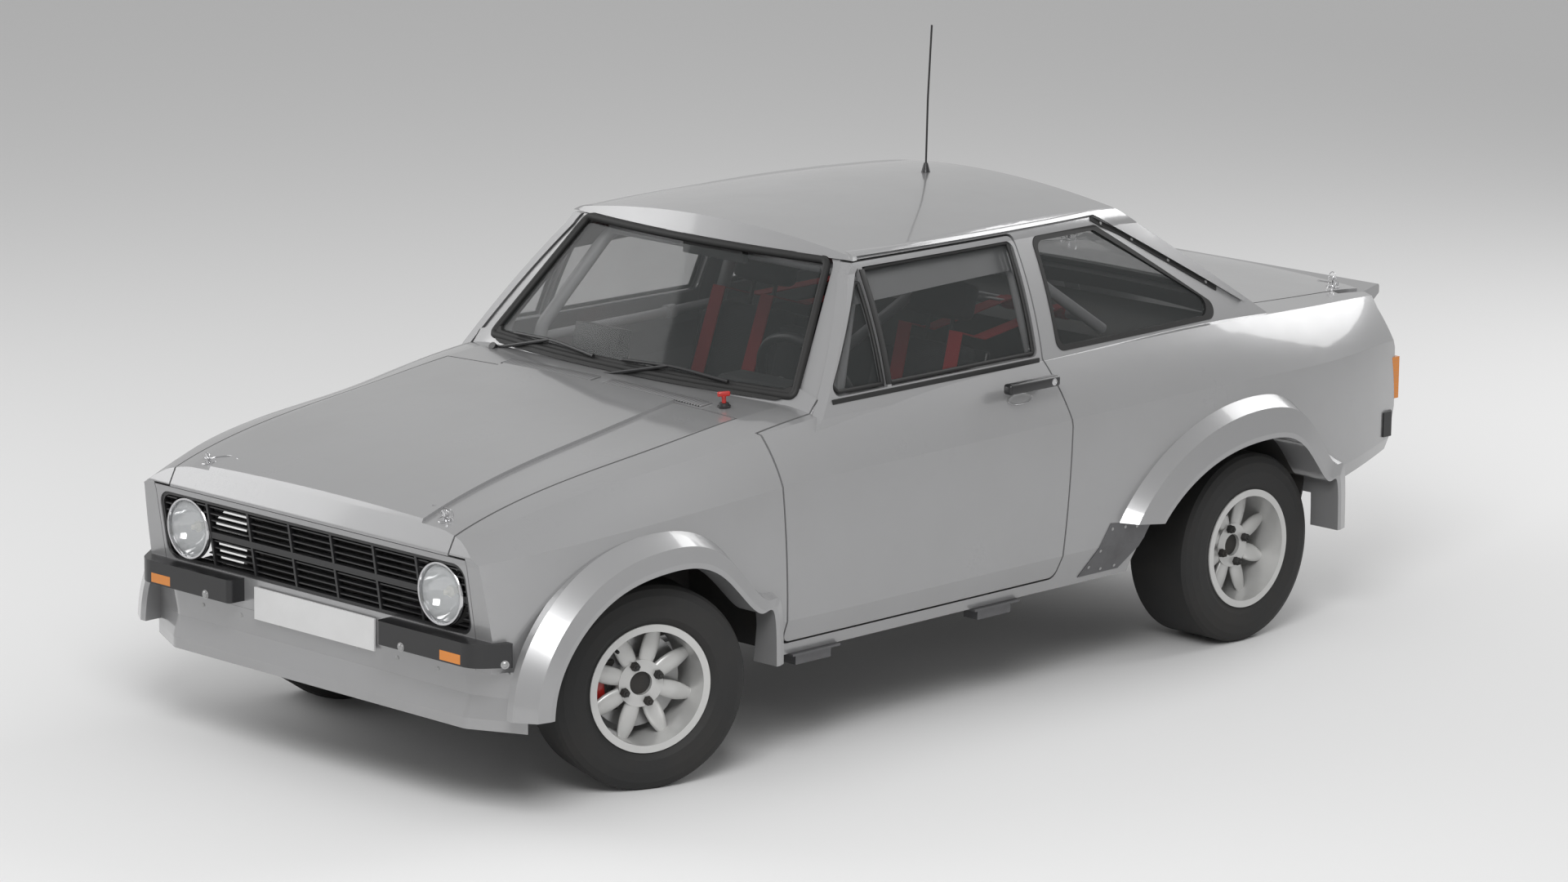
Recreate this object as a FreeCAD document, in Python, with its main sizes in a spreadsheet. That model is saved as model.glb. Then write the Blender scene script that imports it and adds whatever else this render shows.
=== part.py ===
import FreeCAD, Part
import functools
import math
import os
import Sketcher

os.makedirs("parts", exist_ok=True)
doc = FreeCAD.newDocument("rally_car")
V = FreeCAD.Vector

# Driving sizes in millimetres. Lengths along the car are measured rearwards from the front axle.
SIZES = {
    # Whole car
    "wheelbase": 2387, "nose_reach": 680, "tail_reach": 818, "body_half_width": 789,
    "belt_height": 975, "roof_height": 1395, "panel_end_reach": 660,
    # Walls and gaps
    "door_wall": 60, "frame_wall": 34, "wing_wall": 30, "lid_wall": 20, "roof_wall": 24,
    "pillar_wall": 45, "shut_gap": 6, "seat_gap": 0.3, "overrun": 40,
    # Nose and tail outline
    "sill_bottom": 300, "grille_foot_y": 618, "grille_foot_z": 508, "grille_head_y": 651,
    "grille_head_z": 706, "nose_z": 728, "nose_top_y": 588, "nose_top_z": 790, "tail_top_z": 905,
    "tail_y": 3160, "tail_top_y": 3120, "tail_crease_y": 3166, "tail_low_z": 600, "tail_foot_z": 470, "tail_foot_y": 3118, "tail_rise_y": 2661, "tail_rise_z": 390,
    # Screens
    "screen_foot_y": 508, "screen_foot_z": 952, "screen_low_z": 966, "screen_slope": 0.865, "screen_bow": 2746,
    "screen_half_foot": 622, "screen_half_head": 494, "screen_head_z": 1322, "screen_corner": 46,
    "back_foot_y": 2600, "back_foot_z": 985, "back_slope": 1.55, "back_bow": 3400,
    "back_half_foot": 565, "back_half_head": 470, "back_low_z": 1008, "back_head_z": 1322,
    "seal_width": 27, "seal_proud": 5, "seal_depth": 14, "glass_set": 3, "glass_thick": 5,
    # Doors
    "door_front_foot_y": 410, "door_front_y": 393, "door_front_top_y": 410, "door_foot_z": 341,
    "door_crease_z": 782, "door_front_top_z": 946, "door_back_foot_y": 1526, "door_back_y": 1566,
    "door_back_top_y": 1534, "door_head_z": 1312, "door_head_front_y": 905,
    "door_head_back_y": 1600, "door_pillar_foot_y": 590, "door_slant": 0.26, "door_corner": 26,
    "pane_low_z": 984, "pane_high_z": 1298, "pane_front_y": 630,
    "pane_front_high_y": 893, "pane_back_y": 1498, "pane_back_high_y": 1530, "pane_corner": 22,
    "divider_y": 873, "divider_lean": 34, "divider_width": 16, "pane_set": 14,
    "handle_y": 1285, "handle_z": 915, "handle_length": 205, "handle_height": 26, "handle_depth": 12,
    # Rear side windows
    "quarter_front_y": 1584, "quarter_high_y": 1614, "quarter_back_high_y": 1902,
    "quarter_back_y": 2385, "quarter_corner": 30,
    # Bonnet and boot lid
    "bonnet_back_y": 395, "bonnet_half_back": 582, "bonnet_half_front": 564, "lid_front_y": 2585,
    "lid_half_front": 585, "lid_half_back": 560, "lid_low_z": 772, "duck_y": 3030, 
    "duck_reach": 3198, "bulge_rise": 9, "bulge_half_front": 440, "bulge_half_back": 345,
    # Wheel arches
    "arch_front_ahead": 515, "arch_front_behind": 318, "arch_top_z": 631, "arch_rear_ahead": 530,
    "arch_rear_behind": 335, "flare_front_x": 828, "flare_rear_x": 846, "flare_lip": 15,
    "front_fade_ahead": 92, "front_fade_top": 99, "front_fade_behind": 52, "front_crest_ahead": 55,
    "front_crest_top": 60, "front_crest_behind": 36, "rear_fade_ahead": 150, "rear_fade_top": 139,
    "rear_fade_behind": 60, "rear_crest_ahead": 95, "rear_crest_top": 92, "rear_crest_behind": 45,
    "flare_root_x": 740, "well_front_x": 384, "well_rear_x": 500, "tub_wall": 8,
    # Wheels
    "tyre_radius": 286, "rim_radius": 179, "bead_radius": 165, "front_tyre_width": 196,
    "rear_tyre_width": 240, "front_rim_width": 176, "rear_rim_width": 232, "front_lip_x": 727,
    "rear_lip_x": 775, "rim_dish": 62, "lip_thick": 4, "run_gap": 0.06, "stub_reach": 14, "hub_bore": 33, "hub_radius": 66, "hub_thick": 26,
    "spoke_root": 54, "spoke_width": 46, "spoke_depth": 24, "bolt_circle": 54, "nut_radius": 10,
    "disc_radius": 132, "disc_thick": 22, "hat_depth": 18, "hat_wall": 9, "steer_angle": 20, "king_x": 560, "king_lean": 14.5,
    "strut_radius": 20, "strut_head_z": 822, "strut_foot_z": 205,
    # Front dressing
    "grille_half": 632, "grille_corner": 42, "slat_pitch": 19, "slat_thick": 4, "slat_depth": 22,
    "lamp_x": 515, "lamp_z": 610, "lamp_radius": 89, "lamp_depth": 62, "plate_half": 245,
    "plate_low_z": 401, "plate_high_z": 491, "plate_thick": 6, "plate_proud": 6.3,
    "bumper_inner_x": 300, "bumper_outer_x": 742, "bumper_low_z": 440, "bumper_high_z": 505,
    "bumper_depth": 55, "dam_lip_z": 255, "dam_top_z": 420, "dam_proud": 6, "dam_waist": 14, "dam_waist_z": 345, "dam_bead_z": 285, "dam_half": 596, "dam_sweep": 160,
    "dam_back_y": -545, "dam_corner": 44, "dam_wall": 20,
    # Rear dressing
    "lamp_low_z": 622, "lamp_high_z": 752, "lamp_inner_x": 430, "lamp_outer_x": 702,
    "rear_bumper_inner_x": 420, "rear_bumper_outer_x": 728, "rear_bumper_low_z": 515,
    "rear_bumper_high_z": 592, 
    "stone_low_front_y": 1631, "stone_high_front_y": 1738, "stone_high_back_y": 1950,
    "stone_low_back_y": 1807, "stone_low_z": 320, "stone_high_z": 469, "stone_back_z": 445,
    # Running gear
    "engine_half": 165, "engine_front_y": -160, "engine_length": 560, "engine_low_z": 330,
    "engine_height": 430, "gearbox_length": 520, "gearbox_half": 95, "shaft_radius": 32,
    "axle_tube_radius": 38, "diff_radius": 130, "spring_x": 440, "tank_half": 330,
    "tank_length": 330, "tank_height": 190, "tank_low_z": 470, "pipe_radius": 26,
    # Cabin
    "tube_radius": 20, "hoop_y": 1560, "hoop_half_foot": 636, "hoop_half_head": 420,
    "hoop_half_shoulder": 546, "hoop_shoulder_z": 1216, "hoop_waist_z": 955, "hoop_head_z": 1281, "cage_bend": 90,
    "leg_half_head": 486, "leg_head_y": 960, "leg_head_z": 1264, "leg_half_knee": 600, "leg_knee_y": 785,
    "leg_knee_z": 980, "leg_foot_y": 690, "door_bar_z": 560, "stay_half_head": 452, "stay_head_z": 1264,
    "stay_half_foot": 470, "stay_foot_y": 2050, "harness_bar_y": 1975, "wheel_x": 370, "wheel_y": 905, "wheel_z": 918, "wheel_radius": 175,
    "wheel_grip": 14, "wheel_tilt": 24, "dash_front_y": 560, "dash_depth": 250, "dash_top_z": 925,
    "dash_height": 230, "seat_x": 358, "seat_y": 850, "seat_width": 436, "seat_length": 480, "dash_half": 570,
    "seat_height": 130, "seat_low_z": 345, "back_length": 640, "back_thick": 110, "back_lean": 17,
    "rest_width": 250, "rest_height": 125, "rest_thick": 80, "belt_toe": 0.18, "belt_width": 50, "belt_thick": 4,
    "floor_z": 305, "floor_thick": 12, "tunnel_half": 130, "tunnel_height": 190, "rear_wall_ahead": 360,
    # Aerial
    "aerial_y": 1780, "aerial_length": 440, "aerial_radius": 3,
}
sheet = doc.addObject("Spreadsheet::Sheet", "Sizes")
for row_number, (alias, value) in enumerate(SIZES.items(), start=1):
    sheet.set(f"A{row_number}", alias)
    sheet.set(f"B{row_number}", str(value))
    sheet.setAlias(f"B{row_number}", alias)
doc.recompute()


class Named:
    """The sheet's cells by name."""

    def __getattr__(self, alias):
        return float(sheet.get(alias))


s = Named()
LENGTH = s.nose_reach + s.wheelbase + s.tail_reach
AXLE_Y = s.nose_reach - LENGTH / 2
HOME = FreeCAD.Placement(V(0, AXLE_Y, 0), FreeCAD.Rotation())

# Stations of the lower body, as shares of body length, half width and belt height:
# place, sill x and z, lower side x and z, crease x and z, shoulder x and z, deck z, top z
LOWER_SHARES = (
    (-0.021, 0.710, 0.308, 0.760, 0.431, 0.760, 0.718, 0.659, 0.754, 0.764, 0.771),
    (0.021, 0.852, 0.308, 0.887, 0.431, 0.892, 0.741, 0.778, 0.797, 0.813, 0.821),
    (0.098, 0.932, 0.308, 0.961, 0.431, 0.953, 0.761, 0.830, 0.861, 0.880, 0.888),
    (0.201, 0.953, 0.308, 0.986, 0.421, 0.976, 0.784, 0.857, 0.902, 0.932, 0.942),
    (0.278, 0.953, 0.308, 0.994, 0.415, 0.986, 0.802, 0.887, 0.942, 0.967, 0.979),
    (0.432, 0.953, 0.308, 1.000, 0.415, 0.995, 0.814, 0.907, 0.984, 0.996, 1.007),
    (0.578, 0.953, 0.308, 1.000, 0.415, 0.997, 0.821, 0.905, 0.993, 1.005, 1.015),
    (0.788, 0.948, 0.313, 0.999, 0.431, 0.995, 0.827, 0.887, 0.995, 1.010, 1.023),
    (0.909, 0.920, 0.354, 0.968, 0.482, 0.958, 0.824, 0.842, 0.977, 0.995, 1.010),
    (1.024, 0.804, 0.431, 0.831, 0.533, 0.826, 0.806, 0.735, 0.938, 0.959, 0.974),
)
DECK_SHARE = 0.84
# Stations of the roof and pillars, as shares of body length, half width and roof height:
# place, belt x, mid x and z, rail x and z, top z
UPPER_SHARES = (
    (0.278, 0.925, 0.819, 0.810, 0.705, 0.934, 0.959),
    (0.407, 0.921, 0.830, 0.810, 0.712, 0.946, 0.985),
    (0.561, 0.915, 0.826, 0.814, 0.712, 0.955, 0.999),
    (0.664, 0.907, 0.816, 0.810, 0.702, 0.951, 1.000),
    (0.767, 0.890, 0.798, 0.799, 0.687, 0.929, 0.984),
    (0.896, 0.867, 0.776, 0.781, 0.664, 0.882, 0.939),
)
SIDE_BULGE_SHARE = 0.012
RAIL_ROUND_SHARE = 0.045


# Small geometry helpers
def side_point(x):
    """A point maker for outlines drawn as seen from the side, at one x."""
    return lambda y, z: V(x, y, z)


def front_point(y):
    """A point maker for outlines drawn as seen from the front, at one y."""
    return lambda x, z: V(x, y, z)


def plan_point(z):
    """A point maker for outlines drawn as seen from above, at one z."""
    return lambda x, y: V(x, y, z)


def rounded_edges(points, radii, closed):
    """Straight runs joined by tangent arcs, through points in space."""
    count = len(points)
    starts, ends, arcs = [], [], []
    for i in range(count):
        here, radius = points[i], radii[i]
        if radius == 0 or (not closed and i in (0, count - 1)):
            starts.append(here)
            ends.append(here)
            arcs.append(None)
            continue
        back = (points[i - 1] - here).normalize()
        ahead = (points[(i + 1) % count] - here).normalize()
        half = back.getAngle(ahead) / 2
        reach = radius / math.tan(half)
        inward = (back + ahead).normalize()
        start = here + back * reach
        end = here + ahead * reach
        middle = here + inward * (radius / math.sin(half) - radius)
        starts.append(start)
        ends.append(end)
        arcs.append(Part.Arc(start, middle, end).toShape())
    edges = []
    for i in range(count):
        if arcs[i]:
            edges.append(arcs[i])
        if i == count - 1 and not closed:
            break
        nxt = starts[(i + 1) % count]
        run = points[(i + 1) % count] - points[i]
        if (nxt - ends[i]).dot(run) < -s.seat_gap / 100:
            raise ValueError(f"corner rounds overlap near {points[i]}")
        if ends[i].distanceToPoint(nxt) > s.seat_gap / 100:
            edges.append(Part.makeLine(ends[i], nxt))
    return edges


def outline(corners, place, radius=0.0):
    """A closed outline from (u, v) or (u, v, radius) corners."""
    points = [place(c[0], c[1]) for c in corners]
    radii = [c[2] if len(c) > 2 else radius for c in corners]
    return Part.Wire(rounded_edges(points, radii, True))


def prism(wire, direction):
    """The solid that an outline sweeps along a straight direction."""
    return Part.Face(wire).extrude(direction)


def block(x0, x1, y0, y1, z0, z1):
    """A box between two corners."""
    return Part.makeBox(x1 - x0, y1 - y0, z1 - z0, V(x0, y0, z0))


def mirrored(shape):
    """The same shape on the other side of the car."""
    return shape.mirror(V(0, 0, 0), V(1, 0, 0))


def tube(points, radius, bend):
    """A round bar along straight runs joined by arcs."""
    radii = [bend] * len(points)
    path = Part.Wire(rounded_edges(points, radii, False))
    circle = Part.makeCircle(radius, points[0], points[1] - points[0])
    return path.makePipeShell([Part.Wire(circle)], True, True)


def fused(shapes):
    """One solid from shapes that overlap."""
    whole = shapes[0]
    for shape in shapes[1:]:
        whole = whole.fuse(shape)
    return whole.removeSplitter()


def bundle(shapes):
    """Solids of one node that don't touch."""
    return Part.makeCompound([solid for shape in shapes for solid in shape.Solids])


def largest(shape):
    """The main solid of a cut, without slivers."""
    return max(shape.Solids, key=lambda solid: solid.Volume)


def add(name, shape):
    """A sub-part whose shape is set from the sheet's sizes."""
    feature = doc.addObject("Part::Feature", name)
    feature.Label = name
    if len(shape.Solids) == 1:
        shape = shape.Solids[0]
    feature.Shape = shape
    feature.Placement = HOME
    return feature


def add_pair(name, left):
    """A left sub-part and its mirror image on the right."""
    add(f"{name}_left", left)
    add(f"{name}_right", mirrored(left))


# Body forms
def station_y(share):
    """Place of a station behind the front axle."""
    return share * (LENGTH) - s.nose_reach


def bulged(a, b, share):
    """The middle of a run, pushed outwards by a share of its length."""
    run = b - a
    outward = V(run.z, 0, -run.x)
    return (a + b) / 2 + outward * share


@functools.lru_cache(maxsize=None)
def lower_solid(side, top, foot=0.0):
    """The lower body's form, drawn in at the sides and the top and dropped at the foot."""
    wires = []
    for row in LOWER_SHARES:
        y = station_y(row[0])
        xs = [row[i] * s.body_half_width - side for i in (1, 3, 5, 7)]
        zs = [row[i] * s.belt_height for i in (2, 4, 6, 8)]
        zs[0] -= foot
        zs[3] -= top
        left = [V(x, y, z) for x, z in zip(xs, zs)]
        right = [V(-p.x, p.y, p.z) for p in left]
        deck = V(left[3].x * DECK_SHARE, y, row[9] * s.belt_height - top)
        crown = V(0, y, row[10] * s.belt_height - top)
        flank = bulged(left[1], left[2], SIDE_BULGE_SHARE)
        brow = bulged(left[2], left[3], 3 * SIDE_BULGE_SHARE)
        wires.append(Part.Wire([
            Part.makeLine(right[0], left[0]),
            Part.makeLine(left[0], left[1]),
            Part.Arc(left[1], flank, left[2]).toShape(),
            Part.Arc(left[2], brow, left[3]).toShape(),
            Part.Arc(left[3], bulged(left[3], deck, 2 * SIDE_BULGE_SHARE), deck).toShape(),
            Part.Arc(deck, crown, V(-deck.x, y, deck.z)).toShape(),
            Part.Arc(V(-deck.x, y, deck.z), bulged(V(-deck.x, y, deck.z), right[3], 2 * SIDE_BULGE_SHARE), right[3]).toShape(),
            Part.Arc(right[3], V(-brow.x, brow.y, brow.z), right[2]).toShape(),
            Part.Arc(right[2], V(-flank.x, flank.y, flank.z), right[1]).toShape(),
            Part.makeLine(right[1], right[0]),
        ]))
    return Part.makeLoft(wires, True, False)


@functools.lru_cache(maxsize=None)
def side_trim(inset, foot=0.0):
    """The body's outline from the side, drawn in at nose, tail and underside."""
    far = s.roof_height
    low = s.sill_bottom - foot
    corners = [
        (-s.grille_foot_y + inset, low), (-s.grille_foot_y + inset, s.grille_foot_z),
        (-s.grille_head_y + inset, s.grille_head_z), (-s.grille_head_y - 7 + inset, s.nose_z, 14),
        (-s.nose_top_y - 38 + inset, s.nose_top_z - inset, 60), (-s.nose_top_y + 290, far, 0),
        (s.tail_top_y - inset, far), (s.tail_top_y - inset, s.tail_top_z),
        (s.tail_crease_y - inset, s.door_crease_z), (s.tail_y - inset, s.tail_low_z),
        (s.tail_foot_y - inset, s.tail_foot_z - foot),
        (s.tail_rise_y, s.tail_rise_z - foot), (s.wheelbase, low),
    ]
    start = -s.body_half_width - s.overrun
    return prism(outline(corners, side_point(start)), V(-2 * start, 0, 0))


def bowed_solid(foot_y, foot_z, slope, bow, far_y):
    """The space on one side of a raked, bowed screen surface."""
    half = s.body_half_width + s.overrun
    low = s.sill_bottom
    high = s.roof_height + s.overrun
    sign = 1 if far_y > foot_y else -1
    shift = slope * (low - foot_z)
    centre = foot_y + shift
    edge = centre + sign * half * half / (2 * bow)
    arc = Part.Arc(V(-half, edge, low), V(0, centre, low), V(half, edge, low)).toShape()
    far = far_y + shift * 2
    rest = Part.makePolygon([V(half, edge, low), V(half, far, low), V(-half, far, low), V(-half, edge, low)])
    face = Part.Face(Part.Wire([arc] + rest.Edges))
    return face.extrude(V(0, slope * (high - low), high - low))


@functools.lru_cache(maxsize=None)
def behind_screen(inset):
    """Everything behind the windscreen's surface, drawn in along its normal."""
    foot = s.screen_foot_y + inset * math.hypot(1, s.screen_slope)
    return bowed_solid(foot, s.screen_foot_z, s.screen_slope, s.screen_bow, LENGTH)


@functools.lru_cache(maxsize=None)
def ahead_of_back(inset):
    """Everything ahead of the rear window's surface, drawn in along its normal."""
    foot = s.back_foot_y - inset * math.hypot(1, s.back_slope)
    return bowed_solid(foot, s.back_foot_z, -s.back_slope, s.back_bow, -LENGTH)


@functools.lru_cache(maxsize=None)
def upper_loft(side, top, foot=0.0):
    """Roof and pillars as one long form, before the screens cut it."""
    wires = []
    round_x = RAIL_ROUND_SHARE * s.body_half_width
    for row in UPPER_SHARES:
        y = station_y(row[0])
        belt_z = s.belt_height - s.overrun
        base = V(row[1] * s.body_half_width - side, y, belt_z - s.overrun - foot)
        belt = V(base.x, y, belt_z)
        middle = V(row[2] * s.body_half_width - side, y, row[3] * s.roof_height)
        rail = V(row[4] * s.body_half_width - side, y, row[5] * s.roof_height - top)
        low = V(rail.x + round_x / 5, y, rail.z - round_x)
        high = V(rail.x - round_x, y, rail.z + round_x / 3)
        corner = (low + high) / 2 + V(round_x, 0, round_x) / 5
        crown = V(0, y, row[6] * s.roof_height - top)
        ring = [base, belt, middle, low, corner, high]
        other = [V(-p.x, p.y, p.z) for p in ring]
        wires.append(Part.Wire([
            Part.makeLine(other[0], base),
            Part.makeLine(base, belt),
            Part.Arc(belt, middle, low).toShape(),
            Part.Arc(low, corner, high).toShape(),
            Part.Arc(high, crown, other[5]).toShape(),
            Part.Arc(other[5], other[4], other[3]).toShape(),
            Part.Arc(other[3], other[2], other[1]).toShape(),
            Part.makeLine(other[1], other[0]),
        ]))
    return Part.makeLoft(wires, True, False)


def upper_solid(side, top, front, foot=0.0):
    """Roof and pillars, trimmed by both screens."""
    return upper_loft(side, top, foot).common(behind_screen(front)).common(ahead_of_back(front))


lower_outer = lower_solid(0, 0).common(side_trim(0))
upper_outer = upper_solid(0, 0, 0)
cabin_inner = upper_solid(s.frame_wall, s.roof_wall, s.pillar_wall, 2 * s.overrun)
lower_thick = lower_solid(s.door_wall, s.roof_wall, 3 * s.overrun).common(side_trim(s.lid_wall, 3 * s.overrun))
lower_wing = lower_solid(s.wing_wall, s.lid_wall, 3 * s.overrun).common(side_trim(s.lid_wall, 3 * s.overrun))
FAR = LENGTH


# Wheel arches
def arch_outline(centre_y, ahead, behind, grow, x):
    """An arch opening seen from the side: straight legs under two quarter ovals."""
    hub_z = s.tyre_radius
    reach_ahead = ahead + grow[0]
    reach_behind = behind + grow[2]
    rise = s.arch_top_z + grow[1] - hub_z
    low = s.sill_bottom - 3 * s.overrun
    front = V(x, centre_y - reach_ahead, hub_z)
    back = V(x, centre_y + reach_behind, hub_z)
    crown = V(x, centre_y, hub_z + rise)
    points = [front]
    for angle in (30, 60):
        turn = math.radians(angle)
        points.append(V(x, centre_y - reach_ahead * math.cos(turn), hub_z + rise * math.sin(turn)))
    points.append(crown)
    for angle in (60, 30):
        turn = math.radians(angle)
        points.append(V(x, centre_y + reach_behind * math.cos(turn), hub_z + rise * math.sin(turn)))
    points.append(back)
    curve = Part.BSplineCurve()
    curve.interpolate(Points=points, InitialTangent=V(0, 0, 1), FinalTangent=V(0, 0, -1))
    foot_front = V(x, front.y, low)
    foot_back = V(x, back.y, low)
    return Part.Wire([
        Part.makeLine(foot_front, front), curve.toShape(), Part.makeLine(back, foot_back),
        Part.makeLine(foot_back, foot_front),
    ])


def arch_cut(centre_y, ahead, behind, grow, x0, x1):
    """The space that an arch opening takes out of a side."""
    return prism(arch_outline(centre_y, ahead, behind, (grow, grow, grow), x0), V(x1 - x0, 0, 0))


def flare(centre_y, ahead, behind, lip_x, fade_by, crest_by):
    """The bulged flare round an arch, from the skin out to its lip."""
    skin_x = s.body_half_width - s.seal_width
    lip_by = (s.flare_lip, s.flare_lip, s.flare_lip)
    root = arch_outline(centre_y, ahead, behind, fade_by, s.flare_root_x)
    fade = arch_outline(centre_y, ahead, behind, fade_by, skin_x)
    crest = arch_outline(centre_y, ahead, behind, crest_by, lip_x - s.seal_width / 3)
    lip = arch_outline(centre_y, ahead, behind, lip_by, lip_x)
    whole = Part.makeLoft([root, fade, crest, lip], True, True)
    low = block(0, FAR, -FAR, FAR, -FAR, s.sill_bottom)
    return whole.cut(low)


ARCH_CENTRE = (s.arch_front_behind - s.arch_front_ahead) / 2
front_half = (s.arch_front_behind + s.arch_front_ahead) / 2
front_well = arch_cut(ARCH_CENTRE, front_half, front_half, 0, s.well_front_x, FAR)
rear_arch = arch_cut(s.wheelbase, s.arch_rear_ahead, s.arch_rear_behind, 0, s.well_rear_x, FAR)
front_flare = flare(ARCH_CENTRE, front_half, front_half, s.flare_front_x,
                    (s.front_fade_ahead, s.front_fade_top, s.front_fade_behind),
                    (s.front_crest_ahead, s.front_crest_top, s.front_crest_behind))
rear_flare = flare(s.wheelbase, s.arch_rear_ahead, s.arch_rear_behind, s.flare_rear_x,
                   (s.rear_fade_ahead, s.rear_fade_top, s.rear_fade_behind),
                   (s.rear_crest_ahead, s.rear_crest_top, s.rear_crest_behind))


flare_low = prism(outline([
    (s.stone_low_front_y - s.overrun, 0), (s.stone_low_front_y - s.overrun, s.stone_high_z),
    (s.stone_high_front_y, s.stone_high_z), (s.stone_high_back_y, s.stone_back_z), (s.stone_high_back_y, 0),
], side_point(0)), V(FAR, 0, 0))
rear_flare = rear_flare.cut(flare_low)


# Doors
def door_prism(grow):
    """The door's outline from the side, swept with the slant of its shut faces."""
    inner = s.tunnel_half
    reach = s.body_half_width + s.overrun - inner
    shift = -s.door_slant * (s.body_half_width - inner)
    g = grow
    corners = [
        (s.door_front_foot_y - g, s.door_foot_z - g, s.door_corner), (s.door_front_y - g, s.door_crease_z),
        (s.door_front_top_y - g, s.door_front_top_z + g), (s.door_pillar_foot_y - g, s.belt_height),
        (s.door_head_front_y - g, s.door_head_z + g), (s.door_head_back_y + g, s.door_head_z + g, s.door_corner),
        (s.door_back_top_y + g, s.belt_height), (s.door_back_y + g, s.door_crease_z),
        (s.door_back_foot_y + g, s.door_foot_z - g, s.door_corner),
    ]
    moved = [(c[0] + shift,) + tuple(c[1:]) for c in corners]
    return prism(outline(moved, side_point(inner)), V(reach, s.door_slant * reach, 0))


@functools.lru_cache(maxsize=None)
def door_region(grow):
    """The space that a door takes: its outline, less what lies inboard of its shoulder."""
    region = door_prism(grow)
    cowl_x = s.body_half_width * LOWER_SHARES[4][7] - s.seal_width / 2 - grow
    cowl = block(0, cowl_x, 0, s.door_pillar_foot_y + s.seal_width, s.belt_height - 2 * s.overrun, s.belt_height + s.seal_width)
    return region.cut(cowl)


def pane_corners(grow):
    """The door's window opening from the side."""
    g = grow
    return [
        (s.pane_front_y - g, s.pane_low_z - g), (s.pane_front_high_y - g, s.pane_high_z + g),
        (s.pane_back_high_y + g, s.pane_high_z + g), (s.pane_back_y + g, s.pane_low_z - g),
    ]


def side_window(corners, corner):
    """A side window's space, straight through the body."""
    return prism(outline(corners, side_point(s.tunnel_half), corner), V(s.body_half_width, 0, 0))


def divider(grow):
    """The upright bar between the quarter light and the main pane."""
    half = s.divider_width / 2 + grow
    corners = [
        (s.divider_y - half, s.pane_low_z - s.overrun),
        (s.divider_y - half + s.divider_lean, s.pane_high_z + s.overrun),
        (s.divider_y + half + s.divider_lean, s.pane_high_z + s.overrun),
        (s.divider_y + half, s.pane_low_z - s.overrun),
    ]
    return side_window(corners, 0)


region = door_region(0)
region_clear = door_region(s.shut_gap)
frame_slab = upper_outer.common(region).cut(upper_loft(s.frame_wall, 0, 2 * s.overrun))
frame_slab = frame_slab.common(block(0, FAR, 0, FAR, s.belt_height - 2 * s.overrun, FAR))
door_skin = lower_outer.common(region).cut(lower_thick)
door_skin = door_skin.cut(upper_loft(s.frame_wall, 0, 2 * s.overrun).common(behind_screen(0)))
opening = side_window(pane_corners(0), s.pane_corner).cut(divider(0))
door = largest(fused([largest(door_skin), largest(frame_slab)]).cut(opening))
grip = block(s.body_half_width - s.handle_depth, s.body_half_width + s.handle_depth, s.handle_y,
             s.handle_y + s.handle_length, s.handle_z, s.handle_z + s.handle_height)
door = door.fuse(grip.common(lower_solid(-s.handle_depth, 0))).removeSplitter()
add_pair("door", largest(door))

pane_slab = upper_loft(s.pane_set, 0).cut(upper_loft(s.pane_set + s.glass_thick, s.glass_thick))
panes = side_window(pane_corners(-s.seat_gap), s.pane_corner).cut(divider(s.seat_gap))
door_glass = pane_slab.common(panes)
add_pair("door_glass", bundle([door_glass]))

# Fixed windows and their seals
def screen_outline(inset, half_foot, half_head, low, high, y):
    """A screen's outline from the front, drawn in by a width."""
    corners = [
        (-half_foot + inset, low + inset), (half_foot - inset, low + inset),
        (half_head - inset, high - inset), (-half_head + inset, high - inset),
    ]
    return outline(corners, front_point(y), max(s.screen_corner - inset, s.seal_width / 2))


def windscreen_space(inset):
    """The windscreen's opening, straight through along the car."""
    wire = screen_outline(inset, s.screen_half_foot, s.screen_half_head, s.screen_low_z, s.screen_head_z, 0)
    return prism(wire, V(0, s.door_back_y, 0))


def back_space(inset):
    """The rear window's opening, straight through along the car."""
    wire = screen_outline(inset, s.back_half_foot, s.back_half_head, s.back_low_z, s.back_head_z, s.door_back_y)
    return prism(wire, V(0, LENGTH, 0))


def quarter_space(grow):
    """The rear side window's opening."""
    g = grow
    corners = [
        (s.quarter_front_y - g, s.pane_low_z - g), (s.quarter_high_y - g, s.pane_high_z + g),
        (s.quarter_back_high_y + g, s.pane_high_z + g), (s.quarter_back_y + 2 * g, s.pane_low_z - g),
    ]
    return side_window(corners, s.quarter_corner)


def between(space, outer, inner):
    """What lies under one offset of a form and over a deeper one."""
    return space(outer).cut(space(inner))


glass_inner = s.glass_set + s.glass_thick
screen_skin = between(behind_screen, -s.seal_proud, s.seal_depth)
screen_glass = between(behind_screen, s.glass_set, glass_inner).common(windscreen_space(s.seal_width + s.seat_gap))
screen_seal = screen_skin.common(windscreen_space(s.seat_gap).cut(windscreen_space(s.seal_width)))
back_skin = between(ahead_of_back, -s.seal_proud, s.seal_depth)
back_glass = between(ahead_of_back, s.glass_set, glass_inner).common(back_space(s.seal_width + s.seat_gap))
back_seal = back_skin.common(back_space(s.seat_gap).cut(back_space(s.seal_width)))
quarter_skin = upper_loft(-s.seal_proud / 2, 0).cut(upper_loft(s.seal_depth, s.roof_wall))
quarter_ring = quarter_space(-s.seat_gap).cut(quarter_space(-s.seal_width / 2))
quarter_seal = quarter_skin.common(quarter_ring).cut(region_clear)
screen_seal = screen_seal.cut(region_clear).cut(mirrored(region_clear))
quarter_glass = upper_loft(s.glass_set, 0).cut(upper_loft(glass_inner, s.roof_wall))
quarter_glass = quarter_glass.common(quarter_space(-s.seal_width / 2 - s.seat_gap))
add("windscreen", largest(screen_glass))
add("rear_window", largest(back_glass))
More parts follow.
